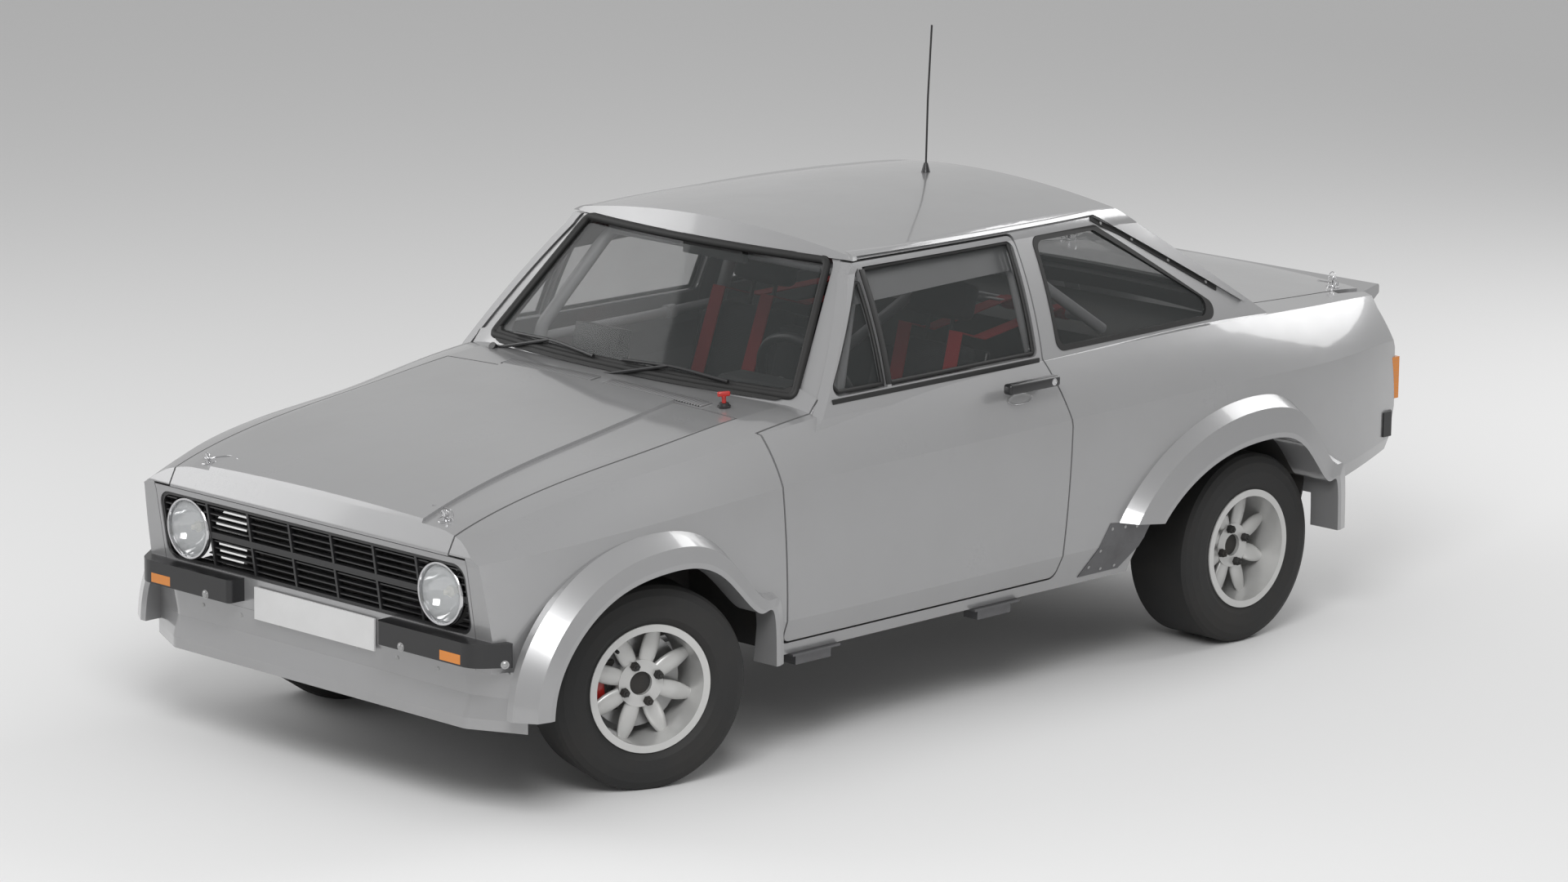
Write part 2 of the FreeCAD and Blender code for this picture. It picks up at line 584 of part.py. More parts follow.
add("quarter_windows", bundle([largest(quarter_glass), mirrored(largest(quarter_glass))]))
add("window_seals", bundle([
    largest(screen_seal), largest(back_seal), largest(quarter_seal), mirrored(largest(quarter_seal)),
]))

# Bonnet
def bonnet_outline(grow):
    """The bonnet seen from above."""
    front = -s.panel_end_reach - 2 * s.overrun
    corners = [
        (-s.bonnet_half_front - grow, front), (s.bonnet_half_front + grow, front),
        (s.bonnet_half_back + grow, s.bonnet_back_y + grow), (-s.bonnet_half_back - grow, s.bonnet_back_y + grow),
    ]
    return prism(outline(corners, plan_point(s.nose_z - 4)), V(0, 0, FAR))


raised = Part.makeLoft([
    outline([(-s.bulge_half_front, s.nose_z), (s.bulge_half_front, s.nose_z),
             (s.bulge_half_front, s.roof_height), (-s.bulge_half_front, s.roof_height)],
            front_point(-s.panel_end_reach - s.overrun)),
    outline([(-s.bulge_half_back, s.nose_z), (s.bulge_half_back, s.nose_z),
             (s.bulge_half_back, s.roof_height), (-s.bulge_half_back, s.roof_height)],
            front_point(s.bonnet_back_y)),
], True, True)
bonnet_zone = bonnet_outline(0)
bonnet_core = lower_solid(s.lid_wall, s.lid_wall, s.overrun).common(side_trim(s.lid_wall, s.overrun))
bonnet = lower_outer.common(bonnet_zone).cut(bonnet_core)
bonnet_form = lower_solid(0, -s.bulge_rise).common(side_trim(0)).common(bonnet_zone)
hump = bonnet_form.common(raised).cut(lower_solid(0, s.lid_wall / 2, s.overrun))
bonnet = largest(fused([largest(bonnet), largest(hump)]))
add("bonnet", bonnet)

# Boot lid with its upturned rear edge
def lid_outline(grow):
    """The boot lid seen from above."""
    corners = [
        (-s.lid_half_front - grow, s.lid_front_y - grow), (s.lid_half_front + grow, s.lid_front_y - grow),
        (s.lid_half_back + grow, FAR), (-s.lid_half_back - grow, FAR),
    ]
    return prism(outline(corners, plan_point(s.lid_low_z - grow)), V(0, 0, FAR))


lid_core = lower_solid(s.lid_wall, s.lid_wall, s.overrun).common(side_trim(s.lid_wall, s.overrun))
lid = largest(lower_outer.common(lid_outline(0)).cut(lid_core))
duck_low = s.belt_height * 0.93
duck_half = s.body_half_width * 0.76
duck_side = [
    (s.duck_y, duck_low + s.overrun / 2), (s.duck_reach, s.belt_height - s.overrun / 4, 8),
    (s.duck_reach, s.belt_height - s.overrun, 8), (s.tail_y - s.seal_width, duck_low - s.overrun / 2),
]
duck = prism(outline(duck_side, side_point(-duck_half)), V(2 * duck_half, 0, 0))
duck_space = block(-duck_half - s.shut_gap, duck_half + s.shut_gap, s.duck_y - s.overrun, FAR,
                   duck_low - s.overrun / 2 - s.shut_gap, FAR)
lid = largest(fused([lid, duck]))
add("boot_lid", lid)

# Body shell: pillars, roof, sills, quarters, cowl and rear panel
ring_low = lower_outer.cut(lower_thick).cut(cabin_inner)
ring_low = ring_low.common(block(-FAR, FAR, s.bonnet_back_y + s.shut_gap, FAR, 0, FAR))
ring_high = upper_outer.cut(cabin_inner)
shell = ring_low.fuse(ring_high)
half_flare = rear_flare.cut(lower_thick)
shell = shell.fuse([half_flare, mirrored(half_flare)])
rail_low = s.screen_head_z + s.seal_proud
rail_corners = [
    (s.door_head_front_y - s.screen_corner, rail_low - s.frame_wall), (s.door_head_front_y, rail_low),
    (s.quarter_back_high_y, rail_low), (s.quarter_back_y + s.frame_wall * 2, s.belt_height + s.overrun),
    (s.quarter_back_y + s.frame_wall * 2 + 8, s.belt_height + s.overrun + 8),
    (s.quarter_back_high_y + 8, rail_low + 8), (s.door_head_front_y - 4, rail_low + 8),
    (s.door_head_front_y - s.screen_corner - 8, rail_low - s.frame_wall + 8),
]
rail_band = prism(outline(rail_corners, side_point(s.tunnel_half)), V(FAR, 0, 0))
drip = upper_loft(-s.handle_depth, 0).cut(upper_loft(1, s.roof_wall)).common(rail_band)
shell = shell.fuse([drip, mirrored(drip)])
inner_pillar = upper_loft(s.frame_wall + s.shut_gap, 0, 2 * s.overrun).common(behind_screen(s.shut_gap))
head_keep = block(-FAR, FAR, 0, FAR, s.door_head_z + s.shut_gap, FAR)
for side_region in (region_clear, mirrored(region_clear)):
    shell = shell.cut(side_region.cut(inner_pillar).cut(head_keep))
for window in (windscreen_space(0), back_space(0), quarter_space(0), mirrored(quarter_space(0))):
    shell = shell.cut(window)
shell = shell.cut(lid_outline(s.shut_gap).cut(block(-FAR, FAR, 0, s.lid_front_y - s.shut_gap, 0, FAR)))
shell = shell.cut(duck_space)
for cut in (rear_arch, mirrored(rear_arch)):
    shell = shell.cut(cut)
add("body_shell", largest(shell))

# Front wings
wing_zone = block(0, FAR, -FAR, s.bonnet_back_y + s.shut_gap, 0, FAR)
wing = lower_outer.cut(lower_wing).common(wing_zone)
wing = wing.fuse(front_flare.cut(lower_wing).common(wing_zone))
wing = wing.cut(bonnet_outline(s.shut_gap))
wing = wing.cut(region_clear)
wing = wing.cut(block(0, s.grille_half + 2, -FAR, -s.grille_foot_y + s.overrun * 1.5, 0, s.nose_z))
wing = wing.cut(block(0, s.body_half_width - 2 * s.overrun, -FAR, FAR, 0, s.dam_top_z))
wing = wing.cut(front_well)
add_pair("wing", largest(wing))

# Front panel with the grille opening
panel_back = -s.grille_foot_y + s.overrun
panel_zone = block(-s.grille_half, s.grille_half, -FAR, panel_back, s.dam_top_z, s.nose_z - s.shut_gap)
panel = lower_outer.cut(lower_wing).common(panel_zone)


def grille_hole(inset):
    """The grille opening's space, drawn in all round."""
    half = s.grille_half - s.wing_wall / 3 - inset
    low = s.grille_foot_z + inset
    high = s.grille_head_z - inset
    corners = [(-half, low), (half, low), (half, high), (-half, high)]
    return prism(outline(corners, front_point(-FAR), s.grille_corner - inset), V(0, FAR, 0))


panel = panel.cut(grille_hole(0))
add("front_panel", largest(panel))

# Air dam under the nose
def dam_ring(reach, half, z, wall):
    """A plan outline of the dam at one height."""
    ahead = -s.grille_foot_y - reach
    back = s.dam_back_y
    corners = [
        (-half - s.dam_sweep, back), (-half, ahead, s.dam_corner), (half, ahead, s.dam_corner), (half + s.dam_sweep, back),
        (half + s.dam_sweep - wall, back), (half - wall / 2, ahead + wall, s.dam_corner - wall),
        (-half + wall / 2, ahead + wall, s.dam_corner - wall), (-half - s.dam_sweep + wall, back),
    ]
    return outline(corners, plan_point(z))


dam = Part.makeLoft([
    dam_ring(s.dam_proud, s.dam_half, s.dam_lip_z, s.dam_wall),
    dam_ring(s.dam_proud, s.dam_half, s.dam_bead_z, s.dam_wall),
    dam_ring(-s.dam_waist, s.dam_half, s.dam_waist_z, s.dam_wall),
    dam_ring(s.seat_gap * 2, s.dam_half, s.dam_top_z - s.seat_gap, s.dam_wall),
], True, True)
dam = dam.cut(wing).cut(mirrored(wing))
add("air_dam", largest(dam))

# Grille: a frame, thin slats in five fields and a full-width middle bar
def grille():
    """Slatted grille between the lamps."""
    half = s.grille_half - s.wing_wall / 3 - s.seat_gap
    low = s.grille_foot_z + s.seat_gap
    lean = math.atan2(s.grille_head_y - s.grille_foot_y, s.grille_head_z - s.grille_foot_z)
    high = s.grille_foot_z + (s.grille_head_z - s.grille_foot_z) / math.cos(lean) - 2 * s.seat_gap

    parts = []
    edge = s.slat_pitch / 2
    frame_outer = outline([(-half, low), (half, low), (half, high), (-half, high)], front_point(0), s.grille_corner)
    frame_inner = outline([(-half + edge, low + edge), (half - edge, low + edge), (half - edge, high - edge),
                           (-half + edge, high - edge)], front_point(0), s.grille_corner - edge)
    depth = V(0, s.slat_depth, 0)
    parts.append(prism(frame_outer, depth).cut(prism(frame_inner, depth)))
    count = int((high - low) // s.slat_pitch)
    for i in range(1, count):
        z = low + (high - low) * i / count
        parts.append(block(-half + edge / 2, half - edge / 2, s.slat_thick, s.slat_depth, z, z + s.slat_thick))
    middle = (low + high) / 2
    parts.append(block(-half + edge / 2, half - edge / 2, 0, s.slat_depth, middle - s.slat_pitch / 2, middle + s.slat_pitch / 2))
    inner = s.lamp_x - s.lamp_radius
    for k in range(6):
        x = -inner + 2 * inner * k / 5
        parts.append(block(x - s.slat_thick, x + s.slat_thick, 0, s.slat_depth, low + edge / 2, high - edge / 2))
    whole = fused(parts)
    whole.rotate(V(0, 0, s.grille_foot_z), V(1, 0, 0), math.degrees(lean))
    whole.translate(V(0, -s.grille_foot_y + s.slat_thick, 0))
    for sign in (-1, 1):
        start = V(sign * s.lamp_x, -s.grille_head_y - s.slat_depth, s.lamp_z)
        whole = whole.cut(Part.makeCylinder(s.lamp_radius + s.seat_gap, 6 * s.slat_depth, start, V(0, 1, 0)))
    return whole.common(grille_hole(s.seat_gap))


add("grille", largest(grille()))

# Headlamps: a bowl and a domed lens
lamp_face = -s.grille_foot_y - (s.grille_head_y - s.grille_foot_y) / 2 + s.slat_thick
lamp_dome = Part.makeSphere(s.lamp_radius * 2).common(Part.makeCylinder(s.lamp_radius, s.lamp_radius * 2, V(0, 0, 0), V(0, -1, 0)))
lamp_dome = lamp_dome.cut(block(-FAR, FAR, -s.lamp_radius * 1.75, FAR, -FAR, FAR))
lamp_dome.translate(V(0, s.lamp_radius * 1.75, 0))
lamp_body = Part.makeCone(s.lamp_radius, s.lamp_radius / 2, s.lamp_depth, V(0, 0, 0), V(0, 1, 0))
lamp = fused([lamp_dome, lamp_body])
lamp.translate(V(s.lamp_x, lamp_face, s.lamp_z))
add("headlamps", bundle([lamp, mirrored(lamp)]))

# Front bumpers with indicators, and the plate
bumper_face = -s.grille_foot_y - s.seat_gap
bumper_corners = [
    (s.bumper_inner_x, bumper_face), (s.bumper_inner_x, bumper_face - s.bumper_depth, 14),
    (s.grille_half + s.overrun, bumper_face - s.bumper_depth, 70), (s.bumper_outer_x, bumper_face + s.overrun, 6),
    (s.bumper_outer_x - s.seal_width, bumper_face + s.overrun), (s.grille_half + s.seal_width, bumper_face),
]
bumper = prism(outline(bumper_corners, plan_point(s.bumper_low_z)), V(0, 0, s.bumper_high_z - s.bumper_low_z))
bumper = bumper.cut(lower_solid(-s.seat_gap, 0).common(side_trim(-s.seat_gap)))
light_low = s.bumper_low_z + s.slat_thick
light = block(s.grille_half - 3 * s.seal_width, s.grille_half, bumper_face - s.bumper_depth - s.slat_thick,
              bumper_face - s.bumper_depth / 2, light_low, light_low + s.seal_width)
bumper = bumper.cut(light)
light_lens = block(s.grille_half - 3 * s.seal_width + s.seat_gap, s.grille_half - s.seat_gap,
                   bumper_face - s.bumper_depth, bumper_face - s.bumper_depth / 2 - s.seat_gap,
                   light_low + s.seat_gap, light_low + s.seal_width - s.seat_gap)
add("front_bumpers", bundle([largest(bumper), mirrored(largest(bumper))]))
add("front_indicators", bundle([light_lens, mirrored(light_lens)]))

plate_body = doc.addObject("PartDesign::Body", "front_plate")
plate_body.Label = "front_plate"


def origin_plane(body, role):
    """One of a body's own origin planes."""
    return [f for f in body.Origin.OriginFeatures if f.Role == role][0]


def new_sketch(body, name, role):
    """A sketch on one of a body's origin planes."""
    sketch = body.newObject("Sketcher::SketchObject", name)
    sketch.AttachmentSupport = [(origin_plane(body, role), "")]
    sketch.MapMode = "FlatFace"
    return sketch


def sketch_outline(sketch, points):
    """A closed run of lines through points of the sketch plane."""
    count = len(points)
    for i in range(count):
        a = V(points[i][0], points[i][1], 0)
        b = V(points[(i + 1) % count][0], points[(i + 1) % count][1], 0)
        sketch.addGeometry(Part.LineSegment(a, b), False)
    for i in range(count):
        sketch.addConstraint(Sketcher.Constraint("Coincident", i, 2, (i + 1) % count, 1))


plate_sketch = new_sketch(plate_body, "plate_outline", "XZ_Plane")
sketch_outline(plate_sketch, [
    (-s.plate_half, s.plate_low_z), (s.plate_half, s.plate_low_z),
    (s.plate_half, s.plate_high_z), (-s.plate_half, s.plate_high_z),
])
plate_pad = plate_body.newObject("PartDesign::Pad", "plate_pad")
plate_pad.Profile = plate_sketch
plate_pad.Length = s.plate_thick
plate_pad.setExpression("Length", "Sizes.plate_thick")
plate_body.Placement = FreeCAD.Placement(V(0, AXLE_Y - s.grille_foot_y - s.plate_proud, 0), FreeCAD.Rotation())

# Tail lamps and rear bumpers
tail_face = s.tail_crease_y + s.seal_depth
tail_lamp = block(s.lamp_inner_x, s.lamp_outer_x, s.tail_y - 1.4 * s.overrun, tail_face, s.lamp_low_z, s.lamp_high_z)
tail_lamp = tail_lamp.cut(lower_outer)
tail_lamp = largest(tail_lamp)
tail_lamp.translate(V(0, s.seat_gap, 0))
add("tail_lamps", bundle([tail_lamp, mirrored(tail_lamp)]))
rear_corners = [
    (s.rear_bumper_inner_x, s.tail_y - s.overrun), (s.rear_bumper_inner_x, s.tail_reach + s.wheelbase, 10),
    (s.grille_half, s.tail_reach + s.wheelbase, 30), (s.rear_bumper_outer_x, s.tail_y - s.overrun, 10),
    (s.rear_bumper_outer_x, s.tail_y - 2 * s.overrun),
]
rear_bumper = prism(outline(rear_corners, plan_point(s.rear_bumper_low_z)), V(0, 0, s.rear_bumper_high_z - s.rear_bumper_low_z))
rear_bumper = rear_bumper.cut(lower_solid(-s.seat_gap, 0).common(side_trim(-s.seat_gap)))
rear_bumper = largest(rear_bumper)
add("rear_bumpers", bundle([rear_bumper, mirrored(rear_bumper)]))

# Stone plates ahead of the rear wheels and jacking brackets under the sills
stone_corners = [
    (s.stone_low_front_y, s.stone_low_z), (s.stone_high_front_y, s.stone_high_z),
    (s.stone_high_back_y, s.stone_back_z), (s.stone_low_back_y, s.stone_low_z),
]
stone_zone = prism(outline(stone_corners, side_point(s.flare_root_x)), V(FAR, 0, 0))
stone = lower_solid(-3, 0).cut(lower_solid(-s.seat_gap, 0)).common(stone_zone)
stone = stone.cut(rear_arch)
add("stone_plates", bundle([largest(stone), mirrored(largest(stone))]))

brackets = []
for start in (s.engine_front_y + 604, s.engine_front_y + 1347):
    foot = block(s.flare_root_x - 2 * s.overrun, s.flare_root_x + s.seal_width, start, start + 190, s.sill_bottom - s.seat_gap - 6, s.sill_bottom - s.seat_gap)
    lug = block(s.flare_root_x - s.overrun, s.flare_root_x + s.seal_width / 2, start + 25, start + 165, s.sill_bottom - 36, s.sill_bottom - s.seat_gap - 6)
    bracket = fused([foot, lug])
    brackets += [bracket, mirrored(bracket)]
add("jack_brackets", bundle(brackets))

# Aerial on the roof
roof_z = s.roof_height - 1
aerial_points = [V(0, s.aerial_y, roof_z), V(0, s.aerial_y + 4, roof_z + s.aerial_length / 2), V(0, s.aerial_y + 16, roof_z + s.aerial_length)]
aerial_base = Part.makeCone(14, 6, 30, V(0, s.aerial_y, roof_z), V(0, 0, 1))
aerial = fused([tube(aerial_points, s.aerial_radius, 900), aerial_base])
aerial = largest(aerial.cut(upper_loft(-s.seat_gap, -s.seat_gap)))
add("aerial", aerial)

# Wipers at rest along the windscreen's foot
def wiper(pivot_x, reach):
    """An arm with its blade, lying on the glass."""
    def on_glass(x, lift):
        y = s.screen_foot_y + x * x / (2 * s.screen_bow) + s.screen_slope * lift
        out = s.seal_proud + 9
        return V(x, y - out * 0.76, s.screen_foot_z + lift + out * 0.65)
    arm = tube([on_glass(pivot_x, -6), on_glass(pivot_x + reach * 0.5, 46)], 5, 0)
    blade = tube([on_glass(pivot_x + reach * 0.12, 40), on_glass(pivot_x + reach * 0.55, 47), on_glass(pivot_x + reach, 34)], 5, 900)
    boss = Part.makeCylinder(12, 34, on_glass(pivot_x, -6) + V(0, 8, -14), V(0, -0.76, 0.65))
    return fused([arm, blade, boss])


wipers = [wiper(-s.grille_half + 95, 420), wiper(-54, 450)]
wipers = [w.cut(lower_solid(-s.seat_gap, -s.seat_gap)).cut(screen_seal) for w in wipers]
add("wipers", bundle([largest(w) for w in wipers]))

# Floor, tunnel, bulkheads and wheel tubs
floor_front = s.bonnet_back_y + s.overrun
floor = block(-FAR, FAR, floor_front, s.tail_y - 2 * s.overrun, s.floor_z, s.floor_z + s.floor_thick)
tunnel = block(-s.tunnel_half, s.tunnel_half, floor_front, s.wheelbase - s.rear_wall_ahead, s.floor_z, s.floor_z + s.tunnel_height)
tunnel_core = block(-s.tunnel_half + s.floor_thick, s.tunnel_half - s.floor_thick, 0, s.wheelbase, 0, s.floor_z + s.tunnel_height - s.floor_thick)
fire = block(-FAR, FAR, floor_front - s.floor_thick, floor_front, s.floor_z, s.belt_height)
rear_wall = block(-FAR, FAR, s.wheelbase - s.rear_wall_ahead, s.wheelbase - s.rear_wall_ahead + s.floor_thick, s.floor_z, s.belt_height - s.overrun)
shelf = block(-FAR, FAR, s.wheelbase - s.rear_wall_ahead, s.lid_front_y - s.overrun, s.belt_height - s.overrun - s.floor_thick, s.belt_height - s.overrun)
tub_out = arch_cut(s.wheelbase, s.arch_rear_ahead, s.arch_rear_behind, s.tub_wall, s.well_rear_x - s.tub_wall, FAR)
tub_in = arch_cut(s.wheelbase, s.arch_rear_ahead, s.arch_rear_behind, 0, s.well_rear_x, FAR)
boot_floor_z = s.tank_low_z + s.tank_height + s.seal_width
inner_body = lower_solid(s.door_wall + s.seat_gap, s.roof_wall + s.seat_gap, s.overrun)
inner_body = inner_body.common(side_trim(s.lid_wall + s.seat_gap, s.overrun))
pan = floor.common(block(-FAR, FAR, floor_front, s.wheelbase - s.rear_wall_ahead + s.floor_thick, 0, FAR))
pan = pan.fuse([tunnel, fire, rear_wall, shelf, tub_out, mirrored(tub_out)])
boot_floor = block(-FAR, FAR, s.wheelbase - s.rear_wall_ahead, s.tail_y - s.overrun, boot_floor_z, boot_floor_z + s.floor_thick)
pan = pan.fuse(boot_floor)
pan = pan.cut(tunnel_core).cut(tub_in).cut(mirrored(tub_in))
pan = pan.cut(block(-FAR, FAR, 0, FAR, 0, s.floor_z))
pan = pan.common(inner_body).cut(ring_high)
swing_x = s.body_half_width - 4.5 * s.overrun
swing = block(swing_x, FAR, 0, floor_front + s.run_gap, s.belt_height - 3 * s.overrun, FAR)
pan = pan.cut(swing).cut(mirrored(swing))
axle_slot = Part.makeCylinder(s.axle_tube_radius + s.seal_depth, 2 * FAR, V(-FAR, s.wheelbase, s.tyre_radius), V(1, 0, 0))
pan = pan.cut(axle_slot)
pan = pan.cut(block(-FAR, FAR, s.tail_y - 3 * s.overrun, FAR, 0, FAR))
add("floor_pan", largest(pan))

# Front inner wings with strut towers and chassis legs
inner_wing = block(s.well_front_x - s.floor_thick - 60, s.well_front_x - 2, -s.grille_foot_y + 2 * s.overrun,
                   floor_front - s.floor_thick - 1, s.floor_z + 60, s.strut_head_z - 120)
legs = block(s.well_front_x - 72, s.well_front_x - 2, -s.grille_foot_y + 2 * s.overrun, floor_front - s.floor_thick - 1, s.floor_z, s.floor_z + 90)
lean = math.tan(math.radians(s.king_lean))
head_x = s.king_x - lean * (s.strut_head_z - s.tyre_radius)
tower_out = Part.makeCylinder(92, 140, V(head_x, 0, s.strut_head_z - 120), V(0, 0, 1))
tower_in = Part.makeCylinder(80, 160, V(head_x, 0, s.strut_head_z - 160), V(0, 0, 1))
king_up = V(-lean, 0, 1)
bore = Part.makeCylinder(s.strut_radius + s.run_gap, s.strut_head_z, V(s.king_x, 0, s.tyre_radius) + king_up * s.seal_depth, king_up)
apron = block(s.well_front_x - 72, s.grille_half - 20, -s.grille_foot_y + 2 * s.overrun, floor_front - s.floor_thick - 1,
              s.arch_top_z + s.wing_wall, s.arch_top_z + s.wing_wall + s.floor_thick)
front_inner = fused([inner_wing, legs, tower_out, apron]).cut(tower_in).cut(bore)
wing_inner = lower_solid(s.wing_wall + s.seat_gap, s.lid_wall + s.overrun, s.overrun)
front_inner = front_inner.common(wing_inner)
add_pair("inner_wing", largest(front_inner))

# Engine as one plain block, gearbox with propeller shaft
engine = doc.addObject("Part::Box", "engine")
engine.Label = "engine"
engine.setExpression("Length", "Sizes.engine_half * 2")
engine.setExpression("Width", "Sizes.engine_length")
engine.setExpression("Height", "Sizes.engine_height")
engine.Placement = FreeCAD.Placement(V(-s.engine_half, AXLE_Y + s.engine_front_y, s.engine_low_z), FreeCAD.Rotation())
box_y = s.engine_front_y + s.engine_length + s.overrun
shaft_z = s.floor_z + s.tunnel_half / 2
gearbox = Part.makeCone(s.gearbox_half, s.gearbox_half / 2, s.gearbox_length, V(0, box_y, shaft_z), V(0, 1, 0))
shaft = Part.makeCylinder(s.shaft_radius, s.wheelbase - s.diff_radius - box_y - s.gearbox_length + 30, V(0, box_y + s.gearbox_length - 20, shaft_z), V(0, 1, 0))
add("driveline", fused([gearbox, shaft]))

# Rear axle with its leaf springs
axle_z = s.tyre_radius
axle_half = s.rear_lip_x - s.rear_rim_width - 6
axle = Part.makeCylinder(s.axle_tube_radius, 2 * axle_half, V(-axle_half, s.wheelbase, axle_z), V(1, 0, 0))
stub_half = s.rear_lip_x - s.rim_dish - s.hub_thick + s.stub_reach
axle = axle.fuse(Part.makeCylinder(s.hub_bore - s.run_gap, 2 * stub_half, V(-stub_half, s.wheelbase, axle_z), V(1, 0, 0)))
diff = Part.makeSphere(s.diff_radius, V(0, s.wheelbase, axle_z))
diff = diff.common(block(-s.diff_radius, s.diff_radius, 0, FAR, axle_z - s.diff_radius + 10, axle_z + s.diff_radius - 10))
axle_parts = [axle, diff]
for sign in (-1, 1):
    x = sign * s.spring_x
    leaf_side = [
        (s.wheelbase - 560, s.floor_z - 30), (s.wheelbase, axle_z - s.axle_tube_radius - 24), (s.wheelbase + 560, s.floor_z + 60),
        (s.wheelbase + 560, s.floor_z + 72), (s.wheelbase, axle_z - s.axle_tube_radius + 4), (s.wheelbase - 560, s.floor_z - 18),
    ]
    axle_parts.append(prism(outline(leaf_side, side_point(x - 25)), V(50, 0, 0)))
add("rear_axle", fused(axle_parts))

# Fuel tank in the boot and the exhaust
tank = block(-s.tank_half, s.tank_half, s.lid_front_y, s.lid_front_y + s.tank_length, s.tank_low_z, s.tank_low_z + s.tank_height)
tank = tank.makeFillet(s.seal_width, tank.Edges)
tank.translate(V(0, 0, boot_floor_z - s.tank_low_z - s.tank_height - s.seat_gap))
add("fuel_tank", tank)
pipe_z = s.floor_z - 2.4 * s.pipe_radius
pipe = tube([
    V(s.engine_half + 70, s.engine_front_y + 300, s.engine_low_z + 60), V(s.tunnel_half + 60, floor_front + 10, pipe_z),
    V(s.tunnel_half + 60, s.wheelbase - 500, pipe_z), V(s.tunnel_half + 90, s.wheelbase - 40, s.floor_z - 106),
    V(s.tunnel_half + 90, s.wheelbase + 150, s.floor_z - 100), V(s.tunnel_half + 160, s.tail_y - 20, s.floor_z + 50),
], s.pipe_radius, 120)
box = Part.makeCylinder(s.pipe_radius * 2.6, 430, V(s.tunnel_half + 60, s.wheelbase - 1150, s.floor_z - 80), V(0, 1, 0))
add("exhaust", fused([pipe, box]))

# Front crossmember with the track control arms
beam = block(-s.well_front_x + 2, s.well_front_x - 2, -60, 60, s.engine_low_z - 130, s.engine_low_z - 60)
ball_x = s.king_x + lean * (s.tyre_radius - s.strut_foot_z)
arms = []
for sign in (-1, 1):
    arms.append(tube([V(sign * (s.well_front_x - 120), 0, s.engine_low_z - 95), V(sign * (ball_x - 66), 0, s.strut_foot_z - 8)], 14, 0))
    arms.append(tube([V(sign * (s.well_front_x - 150), 310, s.floor_z - 60), V(sign * (ball_x - 90), 0, s.strut_foot_z - 8)], 10, 0))
for low_x, top_z in ((-60, s.engine_low_z), (s.well_front_x - 72, s.floor_z), (-s.well_front_x + 2, s.floor_z)):
    arms.append(block(low_x, low_x + (120 if low_x == -60 else 70), -60, 60, s.engine_low_z - 80, top_z - s.seat_gap))
subframe = fused([beam] + arms)
add("front_subframe", subframe)

# Wheels
def turned_body(name, points, placement):
    """A body revolved about its own X axis from (axial, radial) points."""
    body = doc.addObject("PartDesign::Body", name)
    body.Label = name
    sketch = new_sketch(body, f"{name}_outline", "XZ_Plane")
    sketch_outline(sketch, points)
    turn = body.newObject("PartDesign::Revolution", f"{name}_turn")
    turn.Profile = sketch
    turn.ReferenceAxis = (sketch, ["H_Axis"])
    turn.Angle = 360
    body.Placement = placement
    return body


def tyre_points(width, rim_width):
    """Half section of a slick tyre between its rim's lips."""
    half = width / 2
    bead = s.bead_radius + s.seat_gap
    seat = rim_width / 2 - s.lip_thick - s.seat_gap
    tread = half - 10
    return [
        (-seat, bead), (-seat, s.rim_radius + 3), (-half + 2, s.rim_radius + 20), (-half, (s.rim_radius + s.tyre_radius) / 2),
        (-half + 3, s.tyre_radius - 26), (-tread + 2, s.tyre_radius - 8), (-tread + 14, s.tyre_radius),
        (tread - 14, s.tyre_radius), (tread - 2, s.tyre_radius - 8), (half - 3, s.tyre_radius - 26),
        (half, (s.rim_radius + s.tyre_radius) / 2), (half - 2, s.rim_radius + 20), (seat, s.rim_radius + 3),
        (seat, bead),
    ]


@functools.lru_cache(maxsize=None)
def rim_shape(width):
    """An eight-spoke rim: turned barrel and lips, hub and lofted spokes; outside towards +X."""
    half = width / 2
    inner = s.bead_radius - 9
    lip = s.rim_radius
    seat = s.bead_radius
    points = [
        (-half, lip), (-half, inner), (half, inner + 3), (half, lip), (half - s.lip_thick, lip), (half - s.lip_thick, seat),
        (-half + s.lip_thick, seat), (-half + s.lip_thick, lip),
    ]
    wire = Part.makePolygon([V(x, 0, z) for x, z in points + points[:1]])
    barrel = Part.Face(wire).revolve(V(0, 0, 0), V(1, 0, 0), 360)
    face_x = half - s.rim_dish
    hub = Part.makeCylinder(s.hub_radius, s.hub_thick, V(face_x - s.hub_thick, 0, 0), V(1, 0, 0))
    hub = hub.cut(Part.makeCylinder(s.hub_bore, 3 * s.hub_thick, V(face_x - 2 * s.hub_thick, 0, 0), V(1, 0, 0)))
    parts = [barrel, hub]
    for k in range(8):
        angle = 2 * math.pi * (k + 0.5) / 8
        rings = []
        for reach, wide, deep, back in (
            (s.spoke_root, s.spoke_width * 0.86, s.spoke_depth, 0.5), (s.spoke_root * 1.8, s.spoke_width * 1.12, s.spoke_depth * 0.95, 0.52),
            (inner + 3, s.spoke_width * 0.66, s.spoke_depth * 0.8, 0.6),
        ):
            centre = V(face_x - s.hub_thick * back, reach * math.cos(angle), reach * math.sin(angle))
            across = V(0, -math.sin(angle), math.cos(angle))
            oval = Part.Ellipse(centre + across * (wide / 2), centre + V(deep / 2, 0, 0), centre)
            rings.append(Part.Wire(oval.toShape()))
        parts.append(Part.makeLoft(rings, True, False))
    nuts = []
    for k in range(4):
        angle = math.pi / 2 * k + 0.3
        centre = V(face_x - 8, s.bolt_circle * math.cos(angle), s.bolt_circle * math.sin(angle))
        nuts.append(Part.makeCylinder(s.nut_radius, 20, centre, V(1, 0, 0)))
    return largest(fused(parts + nuts))


